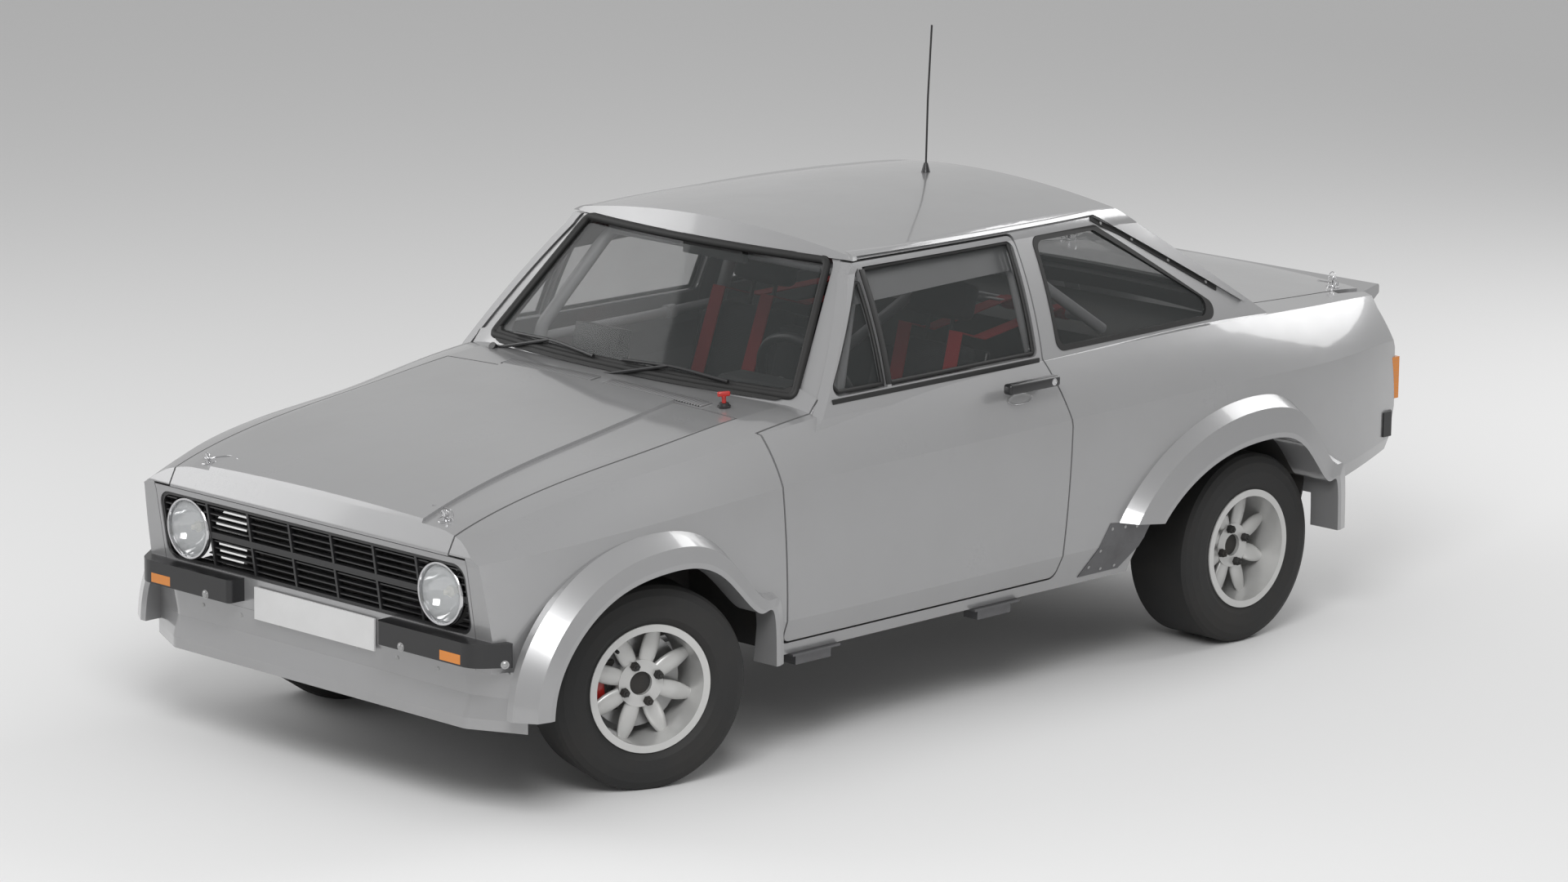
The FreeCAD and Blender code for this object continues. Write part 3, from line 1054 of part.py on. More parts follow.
def front_rest(sign):
    """The front wheel's turn at rest about its leaning steering axis."""
    axis = V(-sign * math.sin(math.radians(s.king_lean)), 0, math.cos(math.radians(s.king_lean)))
    centre = V(sign * s.king_x, 0, s.tyre_radius)
    turn = FreeCAD.Rotation(axis, -s.steer_angle)
    about = FreeCAD.Placement(V(0, 0, 0), turn, centre)
    return HOME.multiply(about)


FLIP = FreeCAD.Rotation(V(0, 0, 1), 180)
wheels = (
    ("front_left", 1, s.front_lip_x, s.front_rim_width, s.front_tyre_width, 0, True),
    ("front_right", -1, s.front_lip_x, s.front_rim_width, s.front_tyre_width, 0, True),
    ("rear_left", 1, s.rear_lip_x, s.rear_rim_width, s.rear_tyre_width, s.wheelbase, False),
    ("rear_right", -1, s.rear_lip_x, s.rear_rim_width, s.rear_tyre_width, s.wheelbase, False),
)
for name, sign, lip_x, rim_width, tyre_width, axle_y, steered in wheels:
    centre = V(sign * (lip_x - rim_width / 2), axle_y, s.tyre_radius)
    own = FreeCAD.Placement(centre, FLIP if sign < 0 else FreeCAD.Rotation())
    place = (front_rest(sign) if steered else HOME).multiply(own)
    turned_body(f"tyre_{name}", tyre_points(tyre_width, rim_width), place)
    rim = add(f"rim_{name}", rim_shape(rim_width))
    rim.Placement = place

# Brake discs on the front hubs, and the knuckles with strut and caliper
for name, sign in (("left", 1), ("right", -1)):
    face_x = s.front_lip_x - s.rim_dish - s.hub_thick
    own = FreeCAD.Placement(V(sign * (face_x - s.seat_gap), 0, s.tyre_radius), FLIP if sign < 0 else FreeCAD.Rotation())
    turned_body(f"disc_{name}", [
        (0, s.hub_bore), (0, s.hub_radius), (-s.hat_depth, s.hub_radius), (-s.hat_depth, s.disc_radius),
        (-s.hat_depth - s.disc_thick, s.disc_radius), (-s.hat_depth - s.disc_thick, s.hub_radius - s.hat_wall),
        (-s.hat_wall, s.hub_radius - s.hat_wall), (-s.hat_wall, s.hub_bore),
    ], front_rest(sign).multiply(own))

    disc_outer = face_x - s.seat_gap - s.hat_depth
    disc_inner = disc_outer - s.disc_thick
    down = V(lean, 0, -1)
    hub_low = V(s.king_x, 0, s.tyre_radius) + down * (s.tyre_radius - s.strut_foot_z)
    hub_high = V(s.king_x, 0, s.tyre_radius) - down * (s.strut_head_z - s.tyre_radius)
    hub_mid = V(s.king_x, 0, s.tyre_radius)
    strut = tube([hub_mid, hub_high], s.strut_radius, 0)
    ball_pin = tube([hub_low, hub_mid - down * s.strut_radius], s.strut_radius / 2, 0)
    stub = Part.makeCylinder(s.hub_bore - s.run_gap, face_x - s.king_x + s.stub_reach, V(s.king_x, 0, s.tyre_radius), V(1, 0, 0))
    carrier = Part.makeCylinder(s.hub_radius * 0.8, disc_inner - 6 - s.king_x, V(s.king_x, 0, s.tyre_radius), V(1, 0, 0))
    caliper_x = disc_inner - 17
    caliper_long = face_x - s.shut_gap - caliper_x
    caliper = Part.makeCylinder(s.disc_radius + 14, caliper_long, V(caliper_x, 0, s.tyre_radius), V(1, 0, 0))
    hollow = Part.makeCylinder(s.disc_radius - 46, 2 * caliper_long, V(caliper_x - 10, 0, s.tyre_radius), V(1, 0, 0))
    caliper = caliper.cut(hollow)
    caliper = caliper.common(block(0, FAR, -FAR, -60, s.tyre_radius - 70, s.tyre_radius + 70))
    slot = Part.makeCylinder(s.disc_radius + 6, s.disc_thick + 4, V(disc_inner - 2, 0, s.tyre_radius), V(1, 0, 0))
    caliper = caliper.cut(slot)
    bridge = block(disc_inner - 28, disc_inner - 8, -s.disc_radius + 10, 0, s.tyre_radius - 22, s.tyre_radius + 22)
    bridge = bridge.fuse(block(s.king_x, disc_inner - 8, -40, 0, s.tyre_radius - 22, s.tyre_radius + 22))
    knuckle = fused([strut, ball_pin, stub, carrier, caliper, bridge])
    if sign < 0:
        knuckle = mirrored(knuckle)
    knuckle_part = add(f"knuckle_{name}", largest(knuckle))
    knuckle_part.Placement = front_rest(sign)

# Dashboard
dash_side = [
    (s.dash_front_y, s.dash_top_z - s.dash_height / 2), (s.dash_front_y + s.overrun, s.dash_top_z, 14),
    (s.dash_front_y + s.dash_depth, s.dash_top_z - 20, 24), (s.dash_front_y + s.dash_depth - 30, s.dash_top_z - s.dash_height, 20),
    (s.dash_front_y + s.overrun, s.dash_top_z - s.dash_height),
]
dash = prism(outline(dash_side, side_point(-s.dash_half)), V(2 * s.dash_half, 0, 0))
dash = dash.common(inner_body)
add("dashboard", largest(dash))

# Steering wheel: rim, three spokes, boss and column
ring = Part.makeTorus(s.wheel_radius, s.wheel_grip, V(0, 0, 0), V(0, 1, 0))
boss = Part.makeCylinder(s.wheel_grip * 2.4, 34, V(0, -20, 0), V(0, 1, 0))
column = Part.makeCylinder(s.wheel_grip * 1.3, 74, V(0, -90, 0), V(0, 1, 0))
wheel_parts = [ring, boss, column]
for angle in (math.pi, 0, -math.pi / 2):
    spoke = Part.makeBox(s.wheel_radius, 5, 26, V(0, -5, -13))
    spoke.rotate(V(0, 0, 0), V(0, 1, 0), -math.degrees(angle))
    wheel_parts.append(spoke)
steering = add("steering_wheel", fused(wheel_parts))
steering.Placement = HOME.multiply(FreeCAD.Placement(V(s.wheel_x, s.wheel_y, s.wheel_z), FreeCAD.Rotation(V(1, 0, 0), s.wheel_tilt)))

# Seats with separate headrests on two posts
def seat(x):
    """A bucket seat: cushion, leaning back, headrest and posts."""
    half = s.seat_width / 2
    cushion = block(x - half, x + half, s.seat_y, s.seat_y + s.seat_length, s.seat_low_z, s.seat_low_z + s.seat_height)
    cushion = cushion.makeFillet(s.seal_width, cushion.Edges)
    back = block(-half + 14, half - 14, 0, s.back_thick, 0, s.back_length)
    back = back.makeFillet(s.seal_width, back.Edges)
    rest = block(-s.rest_width / 2, s.rest_width / 2, 6, s.rest_thick, s.back_length + 40, s.back_length + 40 + s.rest_height)
    rest = rest.makeFillet(s.seal_width, rest.Edges)
    posts = [Part.makeCylinder(7, 90, V(px, s.back_thick / 2, s.back_length - 20), V(0, 0, 1)) for px in (-45, 45)]
    upper = fused([back, rest] + posts)
    upper.rotate(V(0, 0, 0), V(1, 0, 0), -s.back_lean)
    upper.translate(V(x, s.seat_y + s.seat_length - s.back_thick, s.seat_low_z + s.seat_height / 2))
    feet = block(x - half + 60, x + half - 60, s.seat_y + 60, s.seat_y + s.seat_length - 60, s.floor_z + s.floor_thick + s.seat_gap, s.seat_low_z + 20)
    return fused([cushion, upper, feet])


seat_left = seat(s.seat_x)
add("seat_left", seat_left)
add("seat_right", mirrored(seat_left))

# Roll cage
def cage():
    """Main hoop, front legs with door bars, back stays, a diagonal and the harness bar."""
    r = s.tube_radius
    leg_r = r - 1
    bar_r = r - 3
    thin_r = r - 4
    foot_z = s.floor_z + s.floor_thick + s.seat_gap
    stay_foot_z = s.belt_height - s.overrun + r
    parts = [tube([
        V(-s.hoop_half_foot, s.hoop_y, foot_z), V(-s.hoop_half_foot, s.hoop_y, s.hoop_waist_z),
        V(-s.hoop_half_shoulder, s.hoop_y, s.hoop_shoulder_z), V(-s.hoop_half_head, s.hoop_y, s.hoop_head_z),
        V(s.hoop_half_head, s.hoop_y, s.hoop_head_z), V(s.hoop_half_shoulder, s.hoop_y, s.hoop_shoulder_z),
        V(s.hoop_half_foot, s.hoop_y, s.hoop_waist_z), V(s.hoop_half_foot, s.hoop_y, foot_z),
    ], r, s.cage_bend)]
    for sign in (-1, 1):
        stay_head = V(sign * s.stay_half_head, s.hoop_y, s.stay_head_z)
        parts.append(tube([
            stay_head, V(sign * s.leg_half_head, s.leg_head_y, s.leg_head_z),
            V(sign * s.leg_half_knee, s.leg_knee_y, s.leg_knee_z),
            V(sign * s.hoop_half_foot, s.leg_foot_y, foot_z + s.shut_gap),
        ], leg_r, s.cage_bend))
        bar_ahead = s.leg_foot_y + (s.leg_knee_y - s.leg_foot_y) * (s.door_bar_z - foot_z) / (s.leg_knee_z - foot_z)
        bar_x = s.hoop_half_foot - (s.hoop_half_foot - s.leg_half_knee) * (s.door_bar_z - foot_z) / (s.leg_knee_z - foot_z)
        parts.append(tube([V(sign * bar_x, bar_ahead, s.door_bar_z), V(sign * s.hoop_half_foot, s.hoop_y, s.door_bar_z)], bar_r, 0))
        parts.append(tube([stay_head, V(sign * s.stay_half_foot, s.stay_foot_y, stay_foot_z)], bar_r, 0))
    share = (s.harness_bar_y - s.hoop_y) / (s.stay_foot_y - s.hoop_y)
    bar_half = s.stay_half_head + (s.stay_half_foot - s.stay_half_head) * share
    parts.append(tube([V(-bar_half, s.harness_bar_y, harness_bar_z), V(bar_half, s.harness_bar_y, harness_bar_z)], thin_r, 0))
    parts.append(tube([V(-s.hoop_half_foot, s.hoop_y, s.door_bar_z - 2 * s.overrun), V(s.hoop_half_head, s.hoop_y, s.hoop_head_z)], thin_r, 0))
    parts.append(tube([V(-s.leg_half_head, s.leg_head_y, s.leg_head_z), V(s.leg_half_head, s.leg_head_y, s.leg_head_z)], bar_r, 0))
    return largest(fused(parts))


harness_share = (s.harness_bar_y - s.hoop_y) / (s.stay_foot_y - s.hoop_y)
harness_bar_z = s.stay_head_z + (s.belt_height - s.overrun + s.tube_radius - s.stay_head_z) * harness_share
add("roll_cage", cage())

# Harness belts: shoulder straps from the harness bar over the seat backs
def ribbon(points, thick, x0, x1, start_y):
    """A flat strap along points seen from the side, toed inwards behind its start."""
    flat = [V(0, y, z) for y, z in points]
    count = len(flat)
    upper = []
    for i in range(count):
        before = (flat[i] - flat[i - 1]).normalize() if i > 0 else (flat[1] - flat[0]).normalize()
        after = (flat[i + 1] - flat[i]).normalize() if i < count - 1 else before
        along = (before + after).normalize()
        normal = V(0, along.z, -along.y)
        upper.append(flat[i] + normal * (thick / max(along.dot(before), 0.5)))
    ring = flat + upper[::-1]
    wire = Part.makePolygon([V(x0 - s.belt_toe * (p.y - start_y), p.y, p.z) for p in ring + ring[:1]])
    return prism(wire, V(x1 - x0, 0, 0))


def harness(x):
    """Two shoulder straps for one seat."""
    lean_rad = math.radians(s.back_lean)
    foot_y = s.seat_y + s.seat_length - s.back_thick
    foot_z = s.seat_low_z + s.seat_height / 2
    along = (math.sin(lean_rad), math.cos(lean_rad))
    through = (math.cos(lean_rad), -math.sin(lean_rad))
    clear = s.belt_thick

    def on_back(up, depth):
        return (foot_y + along[0] * up + through[0] * depth, foot_z + along[1] * up + through[1] * depth)

    path = [
        (s.harness_bar_y - s.tube_radius - clear, harness_bar_z + s.tube_radius), on_back(s.back_length + 2 * clear, s.back_thick + 2 * clear),
        on_back(s.back_length + 2 * clear, -2 * clear), on_back(s.back_length * 0.4, -2 * clear),
    ]
    straps = []
    for side in (-1, 1):
        centre = x + side * (s.rest_width / 2 - s.belt_width / 2)
        straps.append(ribbon(path, s.belt_thick, centre - s.belt_width / 2, centre + s.belt_width / 2, path[1][0]))
    return straps


left_straps = harness(s.seat_x)
add("harnesses", bundle(left_straps + [mirrored(strap) for strap in left_straps]))

# Interior mirror under the windscreen's head
mirror_y = s.screen_foot_y + s.screen_slope * (s.screen_head_z - s.screen_foot_z) + 60
mirror = fused([
    block(-120, 120, mirror_y, mirror_y + 22, s.screen_head_z - 72, s.screen_head_z - 16),
    tube([V(0, mirror_y + 11, s.screen_head_z - 40), V(0, mirror_y + 11, s.screen_head_z + 30)], 6, 0),
])
mirror = mirror.common(cabin_inner)
add("interior_mirror", largest(mirror))

# Checks, then one file per sub-part
doc.recompute()
SUB_PARTS = [o for o in doc.Objects if o.TypeId in ("Part::Feature", "Part::Box", "PartDesign::Body")]
for item in doc.Objects:
    if "Invalid" in item.State or "Error" in item.State:
        raise RuntimeError(f"{item.Name} failed: {item.State}")
for item in SUB_PARTS:
    if item.Shape.isNull() or not item.Shape.isValid():
        raise RuntimeError(f"{item.Label} has no valid shape")
for item in SUB_PARTS:
    box_size = item.Shape.BoundBox
    print(item.Label, len(item.Shape.Solids), round(item.Shape.Volume / 1e6, 2), "L",
          [round(v) for v in (box_size.XMin, box_size.XMax, box_size.YMin, box_size.YMax, box_size.ZMin, box_size.ZMax)])
    item.Shape.exportStep(f"parts/{item.Label}.step")
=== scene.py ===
"""Rally saloon dressed for the photograph's view: finishes on every panel, and the small fittings."""
import logging
import math
from dataclasses import dataclass
from enum import Enum
from typing import Any, Optional, Sequence

import bmesh
import bpy
from mathutils import Matrix, Vector


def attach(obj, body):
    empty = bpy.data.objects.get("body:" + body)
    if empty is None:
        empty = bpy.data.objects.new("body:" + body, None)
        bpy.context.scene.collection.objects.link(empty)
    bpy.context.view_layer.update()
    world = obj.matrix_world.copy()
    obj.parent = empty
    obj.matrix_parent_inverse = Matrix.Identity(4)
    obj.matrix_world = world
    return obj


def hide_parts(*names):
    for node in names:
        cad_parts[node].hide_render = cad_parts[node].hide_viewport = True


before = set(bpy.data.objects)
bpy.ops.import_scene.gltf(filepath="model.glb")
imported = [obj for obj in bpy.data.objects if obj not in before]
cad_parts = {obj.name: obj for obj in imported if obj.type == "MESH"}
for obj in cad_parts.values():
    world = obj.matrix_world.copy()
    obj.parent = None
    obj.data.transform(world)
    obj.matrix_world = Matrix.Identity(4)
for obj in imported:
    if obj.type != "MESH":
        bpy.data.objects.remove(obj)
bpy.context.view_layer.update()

log = logging.getLogger("rally_saloon")
Colour = tuple[float, float, float]
Point = tuple[float, float, float]
AXLE = 1.2625  # how far the front axle is ahead of the frame's origin, in metres
DOWN, INWARDS, AHEAD = (0, 0, -1), (-1, 0, 0), (0, 1, 0)
MIRROR_X = Matrix.Scale(-1, 4, (1, 0, 0))


class Nodes:
    """One material's node tree, with a call that adds any node."""

    def __init__(self, name: str) -> None:
        """Starts an empty material.

        Args:
            name: the material's name.
        """
        self.material = bpy.data.materials.new(name)
        self.material.use_nodes = True
        self.tree = self.material.node_tree
        self.tree.nodes.clear()

    def add(self, kind: str, settings: Optional[dict[str, Any]] = None, **values: Any) -> "Wire":
        """Adds a node.

        Args:
            kind: the node's type name.
            settings: attributes set first.
            values: socket values or wires, by socket name with spaces as underscores.

        Returns:
            The node's first output.
        """
        node = self.tree.nodes.new(kind)
        for key, value in (settings or {}).items():
            setattr(node, key, value)
        for key, value in values.items():
            self.feed(node, key, value)
        return Wire(self, node, 0)

    def feed(self, node: Any, key: str, value: Any) -> None:
        """Sets or links one input.

        Args:
            node: the node that takes it.
            key: "in0" style index or the socket's name with spaces as underscores.
            value: a number, a colour, or a wire.
        """
        indexed = key[:2] == "in" and key[2:].isdigit()
        socket = node.inputs[int(key[2:])] if indexed else node.inputs[key.replace("_", " ")]
        if isinstance(value, Wire):
            self.tree.links.new(value.output, socket)
        elif isinstance(value, (tuple, list)) and len(value) == 3 and socket.type == "RGBA":
            socket.default_value = (*value, 1.0)
        else:
            socket.default_value = value

    def place(self) -> "Wire":
        """The point's place in the piece's own axes."""
        return self.add("ShaderNodeTexCoord").out("Object")

    def noise(self, place: "Wire", scale: float, detail: float) -> "Wire":
        """A cloud of noise."""
        node = self.add("ShaderNodeTexNoise", None, Vector=place, Scale=scale, Detail=detail, Roughness=0.6)
        return node.out("Fac")

    def bands(self, place: "Wire", way: str, scale: float, distortion: float = 0.0) -> "Wire":
        """Waves along X or Z."""
        kind = {"wave_type": "BANDS", "bands_direction": way}
        node = self.add("ShaderNodeTexWave", kind, Vector=place, Scale=scale, Distortion=distortion)
        return node.out("Fac")

    def bump(self, height: "Wire", strength: float, distance: float) -> "Wire":
        """A bumped normal."""
        return self.add("ShaderNodeBump", None, Height=height, Strength=strength, Distance=distance)

    def close(self, surface: "Wire") -> Any:
        """Joins a surface to the output and gives the material."""
        self.add("ShaderNodeOutputMaterial", None, Surface=surface)
        return self.material


class Wire:
    """A node output that adds and multiplies like a number."""

    def __init__(self, nodes: Nodes, node: Any, index: int) -> None:
        """Holds one output.

        Args:
            nodes: the tree it belongs to.
            node: its node.
            index: which output.
        """
        self.nodes, self.node = nodes, node
        self.output = node.outputs[index] if len(node.outputs) else None

    def out(self, name: str) -> "Wire":
        """Another output of the same node, by name."""
        wire = Wire(self.nodes, self.node, 0)
        wire.output = self.node.outputs[name]
        return wire

    def _maths(self, operation: str, a: Any, b: Any = 0.0) -> "Wire":
        """A Math node on two values."""
        return self.nodes.add("ShaderNodeMath", {"operation": operation}, in0=a, in1=b)

    def __add__(self, other: Any) -> "Wire":
        """Sum."""
        return self._maths("ADD", self, other)

    __radd__ = __add__

    def __sub__(self, other: Any) -> "Wire":
        """Difference."""
        return self._maths("SUBTRACT", self, other)

    def __rsub__(self, other: Any) -> "Wire":
        """Difference, the other way."""
        return self._maths("SUBTRACT", other, self)

    def __mul__(self, other: Any) -> "Wire":
        """Product."""
        return self._maths("MULTIPLY", self, other)

    __rmul__ = __mul__

    def __gt__(self, other: Any) -> "Wire":
        """1 where it is greater."""
        return self._maths("GREATER_THAN", self, other)

    def clamp(self) -> "Wire":
        """Held between 0 and 1."""
        return self.nodes.add("ShaderNodeClamp", None, in0=self)


def mix(nodes: Nodes, factor: Any, a: Any, b: Any) -> Wire:
    """A blend of two colours.

    Args:
        nodes: the tree.
        factor: 0 gives a, 1 gives b.
        a: a colour or wire.
        b: a colour or wire.

    Returns:
        The blended colour.
    """
    node = nodes.tree.nodes.new("ShaderNodeMix")
    node.data_type = "RGBA"
    for index, value in ((0, factor), (6, a), (7, b)):
        if isinstance(value, Wire):
            nodes.tree.links.new(value.output, node.inputs[index])
        elif index == 0:
            node.inputs[0].default_value = value
        else:
            node.inputs[index].default_value = (*value, 1.0)
    return Wire(nodes, node, 2)


@dataclass(frozen=True)
class Finish:
    """A surface finish with dirt, fine grain and wear."""

    name: str
    colour: Colour
    roughness: float = 0.5
    metallic: float = 0.0
    coat: float = 0.0
    grain: float = 400.0
    grain_depth: float = 0.0
    grain_distance: float = 0.0004
    blotch: float = 6.0
    dirt: Colour = (0.10, 0.09, 0.08)
    dirt_amount: float = 0.15
    low_darkening: float = 0.0
    specular: float = 0.5
    weave: float = 0.0

    def build(self) -> Any:
        """Builds the material.

        Returns:
            The Blender material.
        """
        nodes = Nodes(self.name)
        place = nodes.place()
        cloud = nodes.noise(place, self.blotch, 5.0)
        fine = nodes.noise(place, self.grain, 3.0)
        mask = ((cloud - 0.42) * 2.2).clamp() * self.dirt_amount
        # Darker towards the bottom: below about 0.45 m up, the colour is mixed further toward the dirt colour
        # and the roughness rises.
        if self.low_darkening:
            height = nodes.add("ShaderNodeSeparateXYZ", None, Vector=place).out("Z")
            low = (1.0 - height * 2.2).clamp() * (cloud + 0.35) * self.low_darkening
            mask = (mask + low).clamp()
        tone = mix(nodes, (fine * 0.12 + cloud * 0.10), self.colour, tuple(c * 0.72 for c in self.colour))
        colour = mix(nodes, mask, tone, self.dirt)
        rough = (cloud * 0.10 + fine * 0.05 + mask * 0.35 + (self.roughness - 0.08)).clamp()
        surface = nodes.add("ShaderNodeBsdfPrincipled", None, Base_Color=colour, Roughness=rough)
        surface.node.inputs["Metallic"].default_value = self.metallic
        surface.node.inputs["Coat Weight"].default_value = self.coat
        surface.node.inputs["Coat Roughness"].default_value = 0.06
        surface.node.inputs["Specular IOR Level"].default_value = self.specular
        if self.grain_depth:
            level = fine
            if self.weave:
                warp, weft = [nodes.bands(place, way, self.weave, 0.4) for way in ("X", "Z")]
                level = warp * weft + fine * 0.3
            nodes.feed(surface.node, "Normal", nodes.bump(level, self.grain_depth, self.grain_distance))
        return nodes.close(surface)


@dataclass(frozen=True)
class Glass:
    """Clear or tinted glass with cloudy blotches in its tint, roughness and see-through."""

    name: str
    tint: Colour
    roughness: float = 0.02
    alpha: float = 0.32
    flutes: float = 0.0

    def build(self) -> Any:
        """Builds the material.

        Returns:
            The Blender material.
        """
        nodes = Nodes(self.name)
        place = nodes.place()
        cloud = nodes.noise(place, 5.0, 5.0)
        colour = mix(nodes, cloud * 0.4, self.tint, tuple(c * 0.7 for c in self.tint))
        rough = (cloud * 0.06 + self.roughness).clamp()
        see = (cloud * 0.06 + (self.alpha - 0.03)).clamp()
        surface = nodes.add("ShaderNodeBsdfPrincipled", None, Base_Color=colour, Roughness=rough, Alpha=see)
        surface.node.inputs["Specular IOR Level"].default_value = 0.6
        if self.flutes:
            nodes.feed(surface.node, "Normal", nodes.bump(nodes.bands(place, "X", self.flutes), 0.5, 0.001))
        return nodes.close(surface)


@dataclass(frozen=True)
class Lens:
    """A tail lamp's lens: amber outboard, clear band, red inboard, with fine ribs."""

    name: str
    amber_x: float = 0.600
    clear_x: float = 0.520

    def build(self) -> Any:
        """Builds the material.

        Returns:
            The Blender material.
        """
        nodes = Nodes(self.name)
        place = nodes.place()
        split = nodes.add("ShaderNodeSeparateXYZ", None, Vector=place)
        reach = nodes.add("ShaderNodeMath", {"operation": "ABSOLUTE"}, in0=split.out("X"))
        cloud = nodes.noise(place, 12.0, 4.0)
        red = mix(nodes, cloud * 0.4, (0.42, 0.012, 0.010), (0.26, 0.008, 0.008))
        clear = mix(nodes, reach > self.clear_x, red, (0.55, 0.53, 0.50))
        colour = mix(nodes, reach > self.clear_x + 0.035, clear, red)
        colour = mix(nodes, reach > self.amber_x, colour, (0.62, 0.20, 0.01))
        bump = nodes.bump(nodes.bands(place, "Z", 34.0), 0.6, 0.001)
        surface = nodes.add("ShaderNodeBsdfPrincipled", None, Base_Color=colour, Roughness=cloud * 0.1 + 0.12,
                            Normal=bump)
        surface.node.inputs["Coat Weight"].default_value = 0.6
        return nodes.close(surface)


class Kind(Enum):
    """The car's finishes."""

    # Finish: name, colour, roughness, metallic, coat, the grain's scale, depth and distance, the blotches'
    # scale, dirt colour, dirt amount, darkening towards the bottom. Glass: name, tint, roughness, alpha.
    PAINT = Finish("silver_paint", (0.34, 0.34, 0.345), 0.30, 0.45, 1.0, 900.0, 0.02, 0.0002, 3.0,
        (0.20, 0.19, 0.17), 0.10, 0.10)
    UNDER = Finish("underbody", (0.035, 0.035, 0.035), 0.75, 0.0, 0.0, 220.0, 0.35, 0.001, 6.0,
        (0.12, 0.10, 0.08), 0.45)
    PLASTIC = Finish("satin_black", (0.012, 0.012, 0.013), 0.38, 0.0, 0.2, 500.0, 0.12, 0.0004, 8.0,
        (0.06, 0.055, 0.05), 0.10)
    RUBBER = Finish("seal_rubber", (0.010, 0.010, 0.010), 0.60, 0.0, 0.0, 420.0, 0.2, 0.0004, 8.0,
        (0.05, 0.045, 0.04), 0.12)
    TYRE = Finish("tyre_rubber", (0.016, 0.016, 0.016), 0.72, 0.0, 0.0, 260.0, 0.35, 0.0006, 7.0,
        (0.07, 0.06, 0.05), 0.22)
    RIM = Finish("wheel_paint", (0.55, 0.55, 0.54), 0.32, 0.25, 0.5, 600.0, 0.05, 0.0003, 9.0,
        (0.16, 0.14, 0.12), 0.12)
    STEEL = Finish("worn_steel", (0.42, 0.42, 0.42), 0.36, 0.9, 0.0, 300.0, 0.15, 0.0005, 10.0,
        (0.12, 0.10, 0.08), 0.25)
    GALVANISED = Finish("galvanised_plate", (0.15, 0.15, 0.155), 0.42, 0.75, 0.0, 160.0, 0.2, 0.0005, 16.0,
        (0.08, 0.075, 0.07), 0.30)
    IRON = Finish("dark_iron", (0.05, 0.05, 0.05), 0.62, 0.6, 0.0, 260.0, 0.35, 0.0008, 9.0,
        (0.12, 0.09, 0.06), 0.35)
    CAGE = Finish("cage_paint", (0.46, 0.46, 0.47), 0.40, 0.1, 0.3, 500.0, 0.05, 0.0003, 7.0,
        (0.14, 0.13, 0.12), 0.10)
    SEAT = Finish("seat_cloth", (0.018, 0.018, 0.019), 0.88, 0.0, 0.0, 700.0, 0.6, 0.0008, 9.0,
        (0.05, 0.05, 0.05), 0.12, weave=90.0)
    BELT = Finish("belt_webbing", (0.38, 0.012, 0.016), 0.75, 0.0, 0.0, 700.0, 0.6, 0.0006, 9.0,
        (0.08, 0.02, 0.02), 0.12, weave=220.0)
    RED = Finish("red_paint", (0.45, 0.02, 0.015), 0.35, 0.0, 0.5, 500.0, 0.05, 0.0003, 9.0,
        (0.10, 0.04, 0.03), 0.10)
    PLATE = Finish("plate_white", (0.62, 0.62, 0.62), 0.42, 0.0, 0.3, 500.0, 0.03, 0.0003, 9.0,
        (0.20, 0.18, 0.16), 0.08)
    CHROME = Finish("bright_metal", (0.62, 0.62, 0.63), 0.12, 1.0, 0.0, 500.0, 0.02, 0.0002, 9.0,
        (0.12, 0.11, 0.10), 0.06)
    DASH = Finish("dash_vinyl", (0.022, 0.022, 0.023), 0.66, 0.0, 0.0, 350.0, 0.4, 0.0006, 9.0,
        (0.06, 0.06, 0.055), 0.12)
    AMBER = Finish("amber_lens", (0.62, 0.20, 0.01), 0.18, 0.0, 0.6, 160.0, 0.3, 0.0008, 9.0,
        (0.25, 0.10, 0.02), 0.08)
    SHADOW = Finish("slot_shadow", (0.004, 0.004, 0.004), 0.9, dirt_amount=0.05)
    BOWL = Finish("lamp_reflector", (0.70, 0.70, 0.70), 0.10, 1.0, 0.0, 300.0, 0.02, 0.0002, 12.0,
        (0.20, 0.19, 0.18), 0.05)
    BULB = Finish("bulb_glass", (0.75, 0.72, 0.62), 0.15, 0.0, 0.4)
    WINDOW = Glass("window_glass", (0.06, 0.065, 0.065), 0.02, 0.26)
    LENS = Glass("lamp_glass", (0.62, 0.64, 0.65), 0.04, 0.34, flutes=48.0)
    TAIL = Lens("tail_lens")


_made: dict[Kind, Any] = {}


def finish(kind: Kind) -> Any:
    """The material of a finish, built once."""
    if kind not in _made:
        _made[kind] = kind.value.build()
    return _made[kind]


NODE_FINISH: dict[Kind, tuple[str, ...]] = {
    Kind.PAINT: ("body_shell", "wing_left", "wing_right", "door_left", "door_right", "bonnet", "boot_lid",
                 "front_panel", "air_dam"),
    Kind.UNDER: ("floor_pan", "inner_wing_left", "inner_wing_right"),
    Kind.PLASTIC: ("grille", "front_bumpers", "rear_bumpers", "wipers", "aerial", "interior_mirror",
                   "steering_wheel"),
    Kind.RUBBER: ("window_seals",),
    Kind.TYRE: ("tyre_front_left", "tyre_front_right", "tyre_rear_left", "tyre_rear_right"),
    Kind.RIM: ("rim_front_left", "rim_front_right", "rim_rear_left", "rim_rear_right"),
    Kind.GALVANISED: ("jack_brackets", "stone_plates"),
    Kind.STEEL: ("exhaust", "disc_left", "disc_right", "fuel_tank"),
    Kind.IRON: ("engine", "driveline", "rear_axle", "front_subframe", "knuckle_left", "knuckle_right"),
    Kind.CAGE: ("roll_cage",),
    Kind.SEAT: ("seat_left", "seat_right"),
    Kind.BELT: ("harnesses",),
    Kind.PLATE: ("front_plate",),
    Kind.DASH: ("dashboard",),
    Kind.AMBER: ("front_indicators",),
    Kind.TAIL: ("tail_lamps",),
    Kind.WINDOW: ("windscreen", "rear_window", "quarter_windows", "door_glass_left", "door_glass_right"),
    Kind.LENS: ("headlamps",),
}


